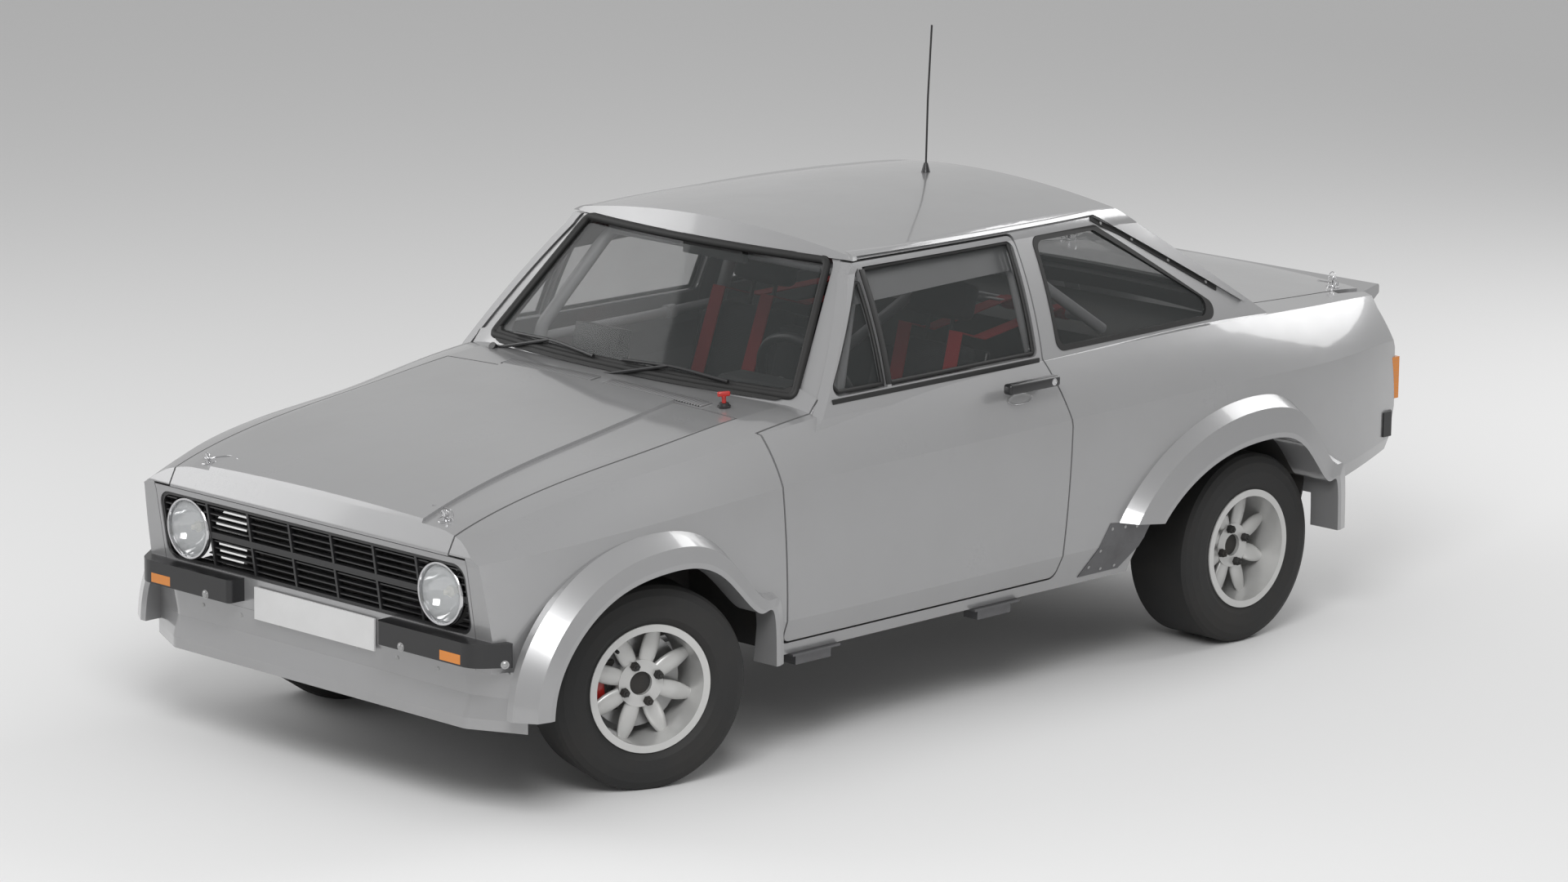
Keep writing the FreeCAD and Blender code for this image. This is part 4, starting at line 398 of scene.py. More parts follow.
def dress_nodes() -> None:
    """Gives every CAD node its finish."""
    for kind, names in NODE_FINISH.items():
        for name in names:
            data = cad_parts[name].data
            data.materials.clear()
            data.materials.append(finish(kind))
            log.info("dressed %s as %s", name, kind.name)


def row(rel_y: float) -> float:
    """A place behind the front axle, as the frame's Y in metres."""
    return rel_y / 1000 - AXLE


def hit(node: str, start: Point, way: Point) -> tuple[Vector, Vector]:
    """Where a straight line first meets a CAD node.

    Args:
        node: the node's name.
        start: where the line begins.
        way: its direction.

    Returns:
        The point met and the outward normal there.
    """
    found, place, normal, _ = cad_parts[node].ray_cast(Vector(start), Vector(way).normalized())
    if not found:
        raise ValueError(f"no {node} from {start} towards {way}")
    return place, normal if normal.dot(Vector(way)) < 0 else -normal


def above(node: str, x: float, rel_y: float) -> tuple[Vector, Vector]:
    """Where a vertical line meets a CAD node from above."""
    return hit(node, (x, row(rel_y), 2.0), DOWN)


def beside(node: str, rel_y: float, z: float) -> tuple[Vector, Vector]:
    """Where a level line meets a CAD node from the car's left."""
    return hit(node, (2, row(rel_y), z), INWARDS)


class Bench:
    """Starts pieces from primitives, shapes them in edit mode and hands them over."""

    @staticmethod
    def clear() -> None:
        """Leaves nothing selected."""
        bpy.ops.object.select_all(action="DESELECT")

    @staticmethod
    def only(obj: Any) -> None:
        """Selects one piece and makes it active."""
        Bench.clear()
        obj.select_set(True)
        bpy.context.view_layer.objects.active = obj

    @staticmethod
    def tidy(obj: Any, angle: float = 35.0) -> Any:
        """Merges doubles, turns normals outwards and smooths by angle.

        Args:
            obj: the piece, in object mode.
            angle: faces that meet at less than this many degrees shade smooth.

        Returns:
            The piece.
        """
        Bench.only(obj)
        bpy.ops.object.mode_set(mode="EDIT")
        bpy.ops.mesh.select_all(action="SELECT")
        bpy.ops.mesh.remove_doubles(threshold=0.00001)
        bpy.ops.mesh.normals_make_consistent(inside=False)
        bpy.ops.object.mode_set(mode="OBJECT")
        bpy.ops.object.shade_smooth_by_angle(angle=math.radians(angle))
        return obj

    @staticmethod
    def turn(profile: Sequence[tuple[float, float]], sides: int = 32, closed: bool = False) -> Any:
        """A turned form about Z: a ring drawn out and resized step by step.

        Args:
            profile: (radius, height) of each ring, from the first to the last.
            sides: how many sides each ring has.
            closed: joins the last ring to the first instead of capping both.

        Returns:
            The piece, at the origin.
        """
        Bench.clear()
        radius, height = profile[0]
        bpy.ops.mesh.primitive_circle_add(vertices=sides, radius=radius, location=(0, 0, height),
                                          fill_type="NOTHING" if closed else "NGON")
        obj = bpy.context.object
        bpy.ops.object.transform_apply(location=True, rotation=False, scale=False)
        bpy.ops.object.mode_set(mode="EDIT")
        bpy.ops.mesh.select_mode(type="EDGE")
        bpy.ops.mesh.select_all(action="SELECT")
        for (r0, h0), (r1, h1) in zip(profile, profile[1:]):
            bpy.ops.mesh.extrude_region_move(TRANSFORM_OT_translate={"value": (0, 0, h1 - h0)})
            bpy.ops.transform.resize(value=(r1 / r0, r1 / r0, 1), center_override=(0, 0, h1))
        if closed:
            mesh = bmesh.from_edit_mesh(obj.data)
            for edge in mesh.edges:
                edge.select_set(edge.is_boundary)
            bmesh.update_edit_mesh(obj.data)
            bpy.ops.mesh.bridge_edge_loops()
        bpy.ops.object.mode_set(mode="OBJECT")
        return obj

    @staticmethod
    def block(size: Point, bevel: float = 0.0, segments: int = 2) -> Any:
        """A block about the origin with rounded edges.

        Args:
            size: its three sizes.
            bevel: how far the edges are cut back.
            segments: faces round an edge.

        Returns:
            The piece, at the origin.
        """
        Bench.clear()
        bpy.ops.mesh.primitive_cube_add(size=1.0, location=(0, 0, 0))
        obj = bpy.context.object
        bpy.ops.object.mode_set(mode="EDIT")
        bpy.ops.mesh.select_all(action="SELECT")
        bpy.ops.transform.resize(value=size, center_override=(0, 0, 0))
        if bevel:
            bpy.ops.mesh.bevel(offset=bevel, segments=segments, affect="EDGES")
        bpy.ops.object.mode_set(mode="OBJECT")
        return obj

    @staticmethod
    def wire(points: Sequence[Point], radius: float, closed: bool = False, sides: int = 3,
             smooth: bool = True) -> Any:
        """A round wire or bar along points.

        Args:
            points: the line that it follows.
            radius: its thickness from the middle.
            closed: whether it ends where it starts.
            sides: resolution of its section.
            smooth: a curve through the points instead of straight runs.

        Returns:
            The piece, with its place in its mesh.
        """
        Bench.clear()
        data = bpy.data.curves.new("run", "CURVE")
        data.dimensions = "3D"
        spline = data.splines.new("NURBS" if smooth else "POLY")
        spline.points.add(len(points) - 1)
        for target, place in zip(spline.points, points):
            target.co = (*place, 1.0)
        if smooth:
            spline.order_u = 3
            spline.use_endpoint_u = not closed
        spline.use_cyclic_u = closed
        data.bevel_depth, data.bevel_resolution, data.use_fill_caps = radius, sides, True
        data.resolution_u = 4
        obj = bpy.data.objects.new("run", data)
        bpy.context.collection.objects.link(obj)
        obj.select_set(True)
        bpy.context.view_layer.objects.active = obj
        bpy.ops.object.convert(target="MESH")
        return bpy.context.object

    @staticmethod
    def strap(points: Sequence[Point], across: Point, width: float, thick: float, bevel: float = 0.0) -> Any:
        """A flat strap: one edge drawn along points, then given thickness.

        Args:
            points: the middle line.
            across: the direction of its width.
            width: how wide.
            thick: how thick.
            bevel: how far its edges are rounded.

        Returns:
            The piece, with its place in its mesh.
        """
        Bench.clear()
        side = Vector(across).normalized() * (width / 2)
        first = Vector(points[0])
        bpy.ops.mesh.primitive_plane_add(size=1.0, location=(0, 0, 0))
        obj = bpy.context.object
        bpy.ops.object.mode_set(mode="EDIT")
        bpy.ops.mesh.select_mode(type="EDGE")
        bpy.ops.mesh.select_all(action="DESELECT")
        mesh = bmesh.from_edit_mesh(obj.data)
        mesh.verts.ensure_lookup_table()
        step = Vector(points[1])
        for vert, place in zip(mesh.verts, (first - side, first + side, step - side, step + side)):
            vert.co = place
        for edge in mesh.edges:
            middle = (edge.verts[0].co + edge.verts[1].co) / 2
            edge.select_set((middle - step).length < (step - first).length * 0.1)
        bmesh.update_edit_mesh(obj.data)
        for here, there in zip(points[1:], points[2:]):
            run = tuple(Vector(there) - Vector(here))
            bpy.ops.mesh.extrude_region_move(TRANSFORM_OT_translate={"value": run})
        bpy.ops.object.mode_set(mode="OBJECT")
        solid = obj.modifiers.new("thickness", "SOLIDIFY")
        solid.thickness, solid.offset = thick, 0.0
        bpy.ops.object.modifier_apply(modifier="thickness")
        if bevel:
            edge_round = obj.modifiers.new("edges", "BEVEL")
            edge_round.width, edge_round.segments = bevel, 2
            bpy.ops.object.modifier_apply(modifier="edges")
        return obj

    @staticmethod
    def place(obj: Any, matrix: Matrix) -> Any:
        """Moves a piece and writes its place into its mesh.

        Args:
            obj: the piece.
            matrix: where it goes.

        Returns:
            The piece.
        """
        Bench.only(obj)
        obj.matrix_world = matrix
        bpy.ops.object.transform_apply(location=True, rotation=True, scale=True)
        return obj

    @staticmethod
    def join(objs: Sequence[Any]) -> Any:
        """One piece from several."""
        Bench.clear()
        for obj in objs:
            obj.select_set(True)
        bpy.context.view_layer.objects.active = objs[0]
        bpy.ops.object.join()
        return bpy.context.object

    @staticmethod
    def copy(obj: Any, matrix: Matrix) -> Any:
        """A copy with its own mesh, moved by a matrix.

        Args:
            obj: the finished first one.
            matrix: from the first one's place to the copy's.

        Returns:
            The copy.
        """
        twin = obj.copy()
        twin.data = obj.data.copy()
        bpy.context.collection.objects.link(twin)
        twin.data.transform(matrix)
        if matrix.determinant() < 0:
            twin.data.flip_normals()
        return twin

    @staticmethod
    def hand_over(obj: Any, name: str, body: str, slot: str, kind: Kind) -> Any:
        """Names a finished piece, dresses it and says what it rides on.

        Args:
            obj: the piece.
            name: its name.
            body: the body that carries it.
            slot: the record's material slot; not used.
            kind: its finish.

        Returns:
            The piece.
        """
        obj.name = obj.data.name = name
        obj.data.materials.clear()
        obj.data.materials.append(finish(kind))
        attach(obj, body)
        log.info("made %s on %s: %d faces", name, body, len(obj.data.polygons))
        return obj

    @staticmethod
    def pair(obj: Any, name: str, slot: str, kind: Kind, body: str = "car",
             other: str = "") -> tuple[Any, Any]:
        """Mirrors a piece of the left side and hands both over.

        Args:
            obj: the left piece.
            name: its name without the side.
            slot: the record's material slot.
            kind: its finish.
            body: the body that carries it.
            other: the body that carries the mirrored one, where it is another.

        Returns:
            The left and the right piece.
        """
        twin = Bench.copy(obj, MIRROR_X)
        return (Bench.hand_over(obj, f"{name}_left", body, slot, kind),
                Bench.hand_over(twin, f"{name}_right", other or body, slot, kind))


def facing(place: Vector, normal: Vector, spin: float = 0.0) -> Matrix:
    """A place whose Z points along a normal.

    Args:
        place: the point.
        normal: the direction of Z.
        spin: turn about that direction, in degrees.

    Returns:
        The matrix.
    """
    turn = Vector(normal).to_track_quat("Z", "Y").to_matrix().to_4x4()
    return Matrix.Translation(place) @ turn @ Matrix.Rotation(math.radians(spin), 4, "Z")


@dataclass
class Wheels:
    """Nuts, valves and calipers on the four wheels."""

    lip_front: float = 0.727
    lip_rear: float = 0.775
    hub_z: float = 0.286
    king_x: float = 0.560
    king_lean: float = 14.5
    rest_turn: float = 20.0
    face_depth: float = 0.062
    bolt_circle: float = 0.054
    wheelbase: float = 2387

    def about(self, sign: int) -> Matrix:
        """The rest turn of a front wheel about its steering axis."""
        lean = math.radians(self.king_lean)
        axis = Vector((-sign * math.sin(lean), 0, math.cos(lean)))
        centre = Matrix.Translation((sign * self.king_x, row(0), self.hub_z))
        return centre @ Matrix.Rotation(math.radians(-self.rest_turn), 4, axis) @ centre.inverted()

    def spot(self, front: bool, sign: int) -> Matrix:
        """A wheel's lip plane, with X outwards.

        Args:
            front: front or rear axle.
            sign: 1 on the car's left.

        Returns:
            The matrix.
        """
        lip = self.lip_front if front else self.lip_rear
        own = Matrix.Translation((sign * lip, row(0 if front else self.wheelbase), self.hub_z))
        if sign < 0:
            own = own @ Matrix.Rotation(math.pi, 4, "Z")
        return (self.about(sign) if front else Matrix.Identity(4)) @ own

    def nuts(self) -> Any:
        """Four dark nuts with washers, at the lip plane's frame."""
        outwards = Matrix.Rotation(math.pi / 2, 4, "Y")
        nut = Bench.turn([(0.0135, 0.0), (0.0135, 0.003), (0.0122, 0.003), (0.0122, 0.015), (0.0105, 0.0185),
                          (0.006, 0.0185), (0.005, 0.023), (0.001, 0.024)], 6)
        seat = Matrix.Translation((-self.face_depth - 0.0005, 0, 0))
        nut = Bench.tidy(Bench.place(nut, seat @ outwards), 25)
        many = []
        for k in range(4):
            angle = math.pi / 2 * k + 0.3
            around = (self.bolt_circle * math.cos(angle), self.bolt_circle * math.sin(angle))
            many.append(Bench.copy(nut, Matrix.Translation((0, *around))))
        bpy.data.objects.remove(nut)
        return Bench.join(many)

    def valve(self) -> Any:
        """A rubber valve stem leaning out of the barrel."""
        stem = Bench.turn([(0.0075, 0.0), (0.0065, 0.004), (0.0042, 0.012), (0.0040, 0.026), (0.0050, 0.027),
                           (0.0050, 0.036), (0.0035, 0.038)], 14)
        angle = math.radians(125)
        spot = Vector((-0.050, 0.158 * math.cos(angle), 0.158 * math.sin(angle)))
        way = Vector((0.82, -0.57 * math.cos(angle), -0.57 * math.sin(angle)))
        return Bench.tidy(Bench.place(stem, facing(spot, way)))

    def caliper(self) -> Any:
        """A red caliper round the front of the disc, in the hub's frame with X outwards."""
        cover = Bench.block((0.0533, 0.064, 0.138), 0.015, 3)
        lug = Bench.place(Bench.block((0.0570, 0.026, 0.062), 0.006, 2), Matrix.Translation((0, -0.010, 0)))
        return Bench.tidy(Bench.place(Bench.join([cover, lug]), Matrix.Translation((-0.1197, -0.1155, 0))))

    def build(self) -> None:
        """Makes the trims once and copies them to each wheel."""
        nuts, valve, caliper = self.nuts(), self.valve(), self.caliper()
        for front in (True, False):
            for sign, side in ((1, "left"), (-1, "right")):
                end = "front" if front else "rear"
                body = f"wheel_{end}_{side}"
                spot = self.spot(front, sign)
                Bench.hand_over(Bench.copy(nuts, spot), f"wheel_nuts_{end}_{side}", body, "iron", Kind.IRON)
                Bench.hand_over(Bench.copy(valve, spot), f"valve_{end}_{side}", body, "rubber", Kind.RUBBER)
                if front:
                    twin = Bench.copy(caliper, spot @ Matrix.Scale(sign, 4, AHEAD))
                    Bench.hand_over(twin, f"caliper_{side}", f"knuckle_{side}", "iron", Kind.RED)
        for first in (nuts, valve, caliper):
            bpy.data.objects.remove(first)


@dataclass
class Headlamps:
    """Round headlamps: chrome ring, fluted dome, bowl and bulb."""

    x: float = 0.515
    rel_y: float = -626.0
    z: float = 0.610
    radius: float = 0.088

    def build(self) -> None:
        """Builds both lamps in place of the plain solids."""
        ahead = Matrix.Rotation(math.pi / 2, 4, "X")
        r = self.radius
        ring = Bench.turn([(r, 0.0), (r, 0.010), (r - 0.003, 0.014), (r - 0.008, 0.014), (r - 0.010, 0.009),
                           (r - 0.010, 0.0)], 56, closed=True)
        dome = Bench.turn([(r - 0.010, 0.004), (r - 0.018, 0.011), (r - 0.034, 0.018), (r - 0.056, 0.023),
                           (0.012, 0.026), (0.0015, 0.0264)], 56)
        bowl = Bench.turn([(r - 0.011, 0.003), (r - 0.016, -0.012), (r - 0.032, -0.036), (0.030, -0.052),
                           (0.012, -0.054), (0.0115, -0.050), (0.028, -0.047), (r - 0.034, -0.032),
                           (r - 0.019, -0.010), (r - 0.0145, 0.003)], 48, closed=True)
        bulb = Bench.turn([(0.011, -0.052), (0.011, -0.030), (0.016, -0.028), (0.016, -0.024),
                           (0.008, -0.020), (0.008, -0.006), (0.002, -0.002)], 20)
        spot = Matrix.Translation((self.x, row(self.rel_y), self.z)) @ ahead
        makes = ((ring, "lamp_ring", "steel", Kind.CHROME), (dome, "lamp_glass", "lens", Kind.LENS),
                 (bowl, "lamp_bowl", "steel", Kind.BOWL), (bulb, "lamp_bulb", "lens", Kind.BULB))
        for obj, name, slot, kind in makes:
            both = Bench.pair(Bench.tidy(Bench.place(obj, spot), 50), name, slot, kind)
            if name == "lamp_glass":
                for each in both:
                    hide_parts("headlamps")


@dataclass
class Pins:
    """Pins of the bonnet and the boot lid, each with a spring clip and a thin wire."""

    bonnet: tuple[float, float] = (0.482, -587.0)
    boot: tuple[float, float] = (0.540, 3045.0)
    wire: float = 0.0013
    eye: float = 0.62

    def pin(self, height: float, ring: float) -> Any:
        """A plate, a post and a spring clip with its loop, standing on Z."""
        plate = Bench.turn([(0.021, 0.0), (0.021, 0.0018), (0.0195, 0.0026), (0.008, 0.0026), (0.0075, 0.004),
                            (0.0048, 0.004), (0.0048, height), (0.0032, height + 0.003),
                            (0.001, height + 0.0034)], 28)
        eye = height * self.eye
        turns = [2 * math.pi * k / 12 for k in range(12)]
        loop = [(ring * math.cos(a), 0.004, eye + ring * math.sin(a)) for a in turns]
        clip = Bench.wire(loop, self.wire, closed=True)
        leg = Bench.wire([(-0.020, 0.0, eye), (0.0, -0.005, eye), (0.022, 0.0, eye + 0.001)], self.wire)
        return Bench.tidy(Bench.join([plate, clip, leg]))

    def build(self) -> None:
        """Places the pins, each with its wire laid on the panel."""
        steps = ((0.02, 0.0, 0.0), (-0.004, 0.035, 0.0), (-0.045, 0.052, 0.0), (-0.085, 0.03, 0.0))
        for node, spot, height, ring in (("bonnet", self.bonnet, 0.026, 0.011),
                                         ("boot_lid", self.boot, 0.030, 0.028)):
            place, normal = above(node, *spot)
            pin = Bench.place(self.pin(height, ring), facing(place - normal * 0.0004, normal, 20))
            line = [tuple(place + normal * height * self.eye + Vector((0.018, 0, 0)))]
            for step in steps:
                at = place + Vector(step)
                met, out = above(node, at.x, (at.y + AXLE) * 1000)
                line.append(tuple(met + out * 0.0016))
            laid = Bench.tidy(Bench.wire(line, self.wire * 0.8))
            Bench.pair(Bench.join([pin, laid]), f"{node}_pin", "steel", Kind.CHROME, node)


@dataclass
class Bolts:
    """Round-headed bolts, rivets and screws on the body's trims."""

    def head(self, radius: float, rise: float) -> Any:
        """One domed head on a washer."""
        return Bench.tidy(Bench.turn([
            (radius * 1.45, 0.0), (radius * 1.45, 0.0012), (radius, 0.0014), (radius, rise * 0.6),
            (radius * 0.72, rise), (radius * 0.2, rise * 1.08)], 18))

    def row_of(self, name: str, node: str, starts: Sequence[Point], way: Point, radius: float,
               rise: float) -> None:
        """Sets heads where lines meet a node, on both sides of the car.

        Args:
            name: the piece's name.
            node: the node that they sit on.
            starts: where each line begins.
            way: the lines' direction.
            radius: head radius.
            rise: head height.
        """
        first = self.head(radius, rise)
        heads = []
        for start in starts:
            place, normal = hit(node, start, way)
            heads.append(Bench.copy(first, facing(place - normal * 0.0003, normal)))
        bpy.data.objects.remove(first)
        Bench.pair(Bench.join(heads), name, "steel", Kind.STEEL)

    def build(self) -> None:
        """Places every set."""
        front = [(x, -3, 0.449) for x in (0.400, 0.590)]
        rear = [(x, 3, 0.553) for x in (0.62, 0.52)]
        dam = [(x, -3, 0.395) for x in (0.16, 0.32, 0.48)]
        edge = ((1668, 0.346), (1700, 0.392), (1744, 0.452), (1725, 0.332), (1785, 0.332), (1800, 0.450),
                (1852, 0.444))
        for each in (
            ("bumper_bolts_front", "front_bumpers", front, AHEAD, 0.009, 0.005),
            ("bumper_bolts_side", "front_bumpers", [(2, row(-600), 0.449)], INWARDS, 0.008, 0.004),
            ("bumper_bolts_rear", "rear_bumpers", rear, (0, -1, 0), 0.009, 0.005),
            ("stone_rivets", "stone_plates", [(2, row(y), z) for y, z in edge], INWARDS, 0.0035, 0.0025),
            ("dam_screws", "air_dam", dam, AHEAD, 0.0045, 0.0025),
        ):
            self.row_of(*each)


@dataclass
class KillSwitch:
    """The battery switch ahead of the screen: black base and red key."""

    spot: tuple[float, float] = (0.484, 452.0)

    def build(self) -> None:
        """Builds the base and the key on the cowl."""
        place, normal = above("body_shell", *self.spot)
        base = Bench.turn([(0.019, 0.0), (0.019, 0.004), (0.015, 0.006), (0.013, 0.012), (0.011, 0.013),
                           (0.004, 0.0135)], 30)
        base = Bench.tidy(Bench.place(base, facing(place, normal)))
        Bench.hand_over(base, "kill_switch_base", "car", "plastic", Kind.PLASTIC)
        stem = Bench.turn([(0.0065, 0.012), (0.0062, 0.028), (0.0082, 0.031), (0.0082, 0.034),
                           (0.003, 0.035)], 24)
        bar = Bench.block((0.036, 0.010, 0.014), 0.0035, 3)
        bar = Bench.place(bar, Matrix.Translation((0, 0, 0.038)))
        key = Bench.place(Bench.join([stem, bar]), facing(place, normal, 35))
        Bench.hand_over(Bench.tidy(key), "kill_switch_key", "car", "redlens", Kind.RED)


@dataclass
class Louvres:
    """Two fields of narrow ribs in the cowl ahead of the screen."""

    front_y: float = 408.0
    back_y: float = 456.0
    pitch: float = 0.0105
    right: tuple[float, float] = (-0.373, -0.012)
    left: tuple[float, float] = (0.044, 0.432)

    def field(self, x0: float, x1: float) -> Any:
        """One field of ribs laid on the cowl.

        Args:
            x0: its right edge.
            x1: its left edge.

        Returns:
            The ribs.
        """
        ribs = []
        count = int((x1 - x0) / self.pitch)
        for k in range(count + 1):
            x = x0 + (x1 - x0) * k / count
            front, _ = above("body_shell", x, self.front_y)
            back, _ = above("body_shell", x, self.back_y)
            middle = (front + back) / 2
            rib = Bench.block((0.0046, (back - front).length, 0.0048), 0.0014, 2)
            along = (back - front).normalized()
            tilt = Matrix.Rotation(math.atan2(along.z, along.y), 4, "X")
            ribs.append(Bench.place(rib, Matrix.Translation(middle + Vector((0, 0, 0.0026))) @ tilt))
        return Bench.tidy(Bench.join(ribs))

    def slot_shade_sheet(self, x0: float, x1: float) -> Any:
        """A near-black sheet laid between the ribs: painted shade where the slots' shadow falls."""
        front, _ = above("body_shell", x0, self.front_y)
        line = []
        for k in range(9):
            x = x0 + (x1 - x0) * k / 8
            a, _ = above("body_shell", x, self.front_y)
            b, _ = above("body_shell", x, self.back_y)
            line.append(tuple((a + b) / 2 + Vector((0, 0, 0.0016))))
        depth = (self.back_y - self.front_y) / 1000 - 0.004
        rise = above("body_shell", x0, self.back_y)[0].z - front.z
        return Bench.tidy(Bench.strap(line, (0, depth, rise), depth, 0.0008))

    def build(self) -> None:
        """Builds both fields."""
        for name, span in (("right", self.right), ("left", self.left)):
            Bench.hand_over(self.field(*span), f"louvre_ribs_{name}", "car", "paint", Kind.PAINT)
            # The sheet between the ribs is painted shade: the slots' shadow given as a near-black finish.
            Bench.hand_over(self.slot_shade_sheet(*span), f"louvre_slot_shade_{name}", "car", "plastic", Kind.SHADOW)


@dataclass
class DoorTrim:
    """Outside handle, lock, finger recess and waist rubber of a door."""

    handle_y: float = 1387.5
    handle_z: float = 0.917
    handle_length: float = 0.213
    waist_z: float = 0.985
    waist_span: tuple[float, float] = (640, 1500)
    scoop: tuple[float, float] = (1372, 0.884)

    def bar(self) -> list[tuple[Any, str, str, Kind]]:
        """The handle's pieces on the left door."""
        cover = Bench.block((0.032, self.handle_length, 0.031), 0.0085, 4)
        cover = Bench.place(cover, Matrix.Translation((0.7875, row(self.handle_y), self.handle_z + 0.011)))
        ring = Bench.turn([(0.0105, 0.0), (0.0105, 0.0020), (0.0090, 0.0028), (0.0070, 0.0028),
                           (0.0068, 0.0020), (0.003, 0.0019)], 28)
        spot = Matrix.Translation((0.8020, row(self.handle_y + 78), self.handle_z + 0.011))
        spot = spot @ Matrix.Rotation(math.pi / 2, 4, "Y")
        scoop, way = beside("door_left", *self.scoop)
        cup = Bench.turn([(0.046, 0.0003), (0.0445, 0.0016), (0.0425, 0.0018), (0.039, 0.0010),
                          (0.030, 0.0005), (0.018, 0.0004), (0.002, 0.0004)], 40)
        oval = Matrix.Scale(0.36, 4, (0, 1, 0)) @ Matrix.Scale(1.16, 4, (1, 0, 0))
        cup = Bench.place(cup, facing(scoop, way) @ oval)
        return [(Bench.tidy(cover), "door_handle", "plastic", Kind.PLASTIC),
                (Bench.tidy(Bench.place(ring, spot)), "door_lock", "steel", Kind.CHROME),
                (Bench.tidy(cup), "door_scoop", "paint", Kind.PAINT)]

    def rubber(self) -> Any:
        """The waist rubber under the door's glass."""
        line = []
        first, last = self.waist_span
        for k in range(13):
            rel_y = first + (last - first) * k / 12
            place, normal = beside("door_left", rel_y, self.waist_z - 0.012)
            line.append(tuple(place + normal * 0.001))
        return Bench.tidy(Bench.strap(line, (0, 0, 1), 0.014, 0.006, 0.0015))

    def build(self) -> None:
        """Builds the left door's trim and mirrors it."""
        for obj, name, slot, kind in self.bar() + [(self.rubber(), "waist_rubber", "rubber", Kind.RUBBER)]:
            Bench.pair(obj, name, slot, kind, "door_left", "door_right")


@dataclass
class PillarStrips:
    """The black strip down each rear pillar, with four screws."""

    path: tuple[tuple[float, float], ...] = (
        (1890.0, 1.316), (2000.0, 1.263), (2121.0, 1.193), (2270.0, 1.110), (2395.0, 1.040))

    def build(self) -> None:
        """Lays the strip on the shell and sets its screws."""
        line, outs = [], []
        for (y0, z0), (y1, z1) in zip(self.path, self.path[1:]):
            for k in range(3):
                rel_y, z = y0 + (y1 - y0) * k / 3, z0 + (z1 - z0) * k / 3
                place, normal = beside("body_shell", rel_y, z)
                line.append(tuple(place + normal * 0.0015))
                outs.append(normal)
        run = Vector(line[-1]) - Vector(line[0])
        strip = Bench.tidy(Bench.strap(line, outs[5].cross(run), 0.017, 0.003, 0.001))
        Bench.pair(strip, "pillar_strip", "rubber", Kind.RUBBER)
        heads = []
        for k in (1, 4, 7, 10):
            head = Bench.turn([(0.0052, 0.0), (0.0050, 0.0016), (0.003, 0.0026), (0.0006, 0.0027)], 16)
            heads.append(Bench.place(head, facing(Vector(line[k]) + outs[k] * 0.0015, outs[k])))
        Bench.pair(Bench.tidy(Bench.join(heads)), "strip_screws", "steel", Kind.STEEL)


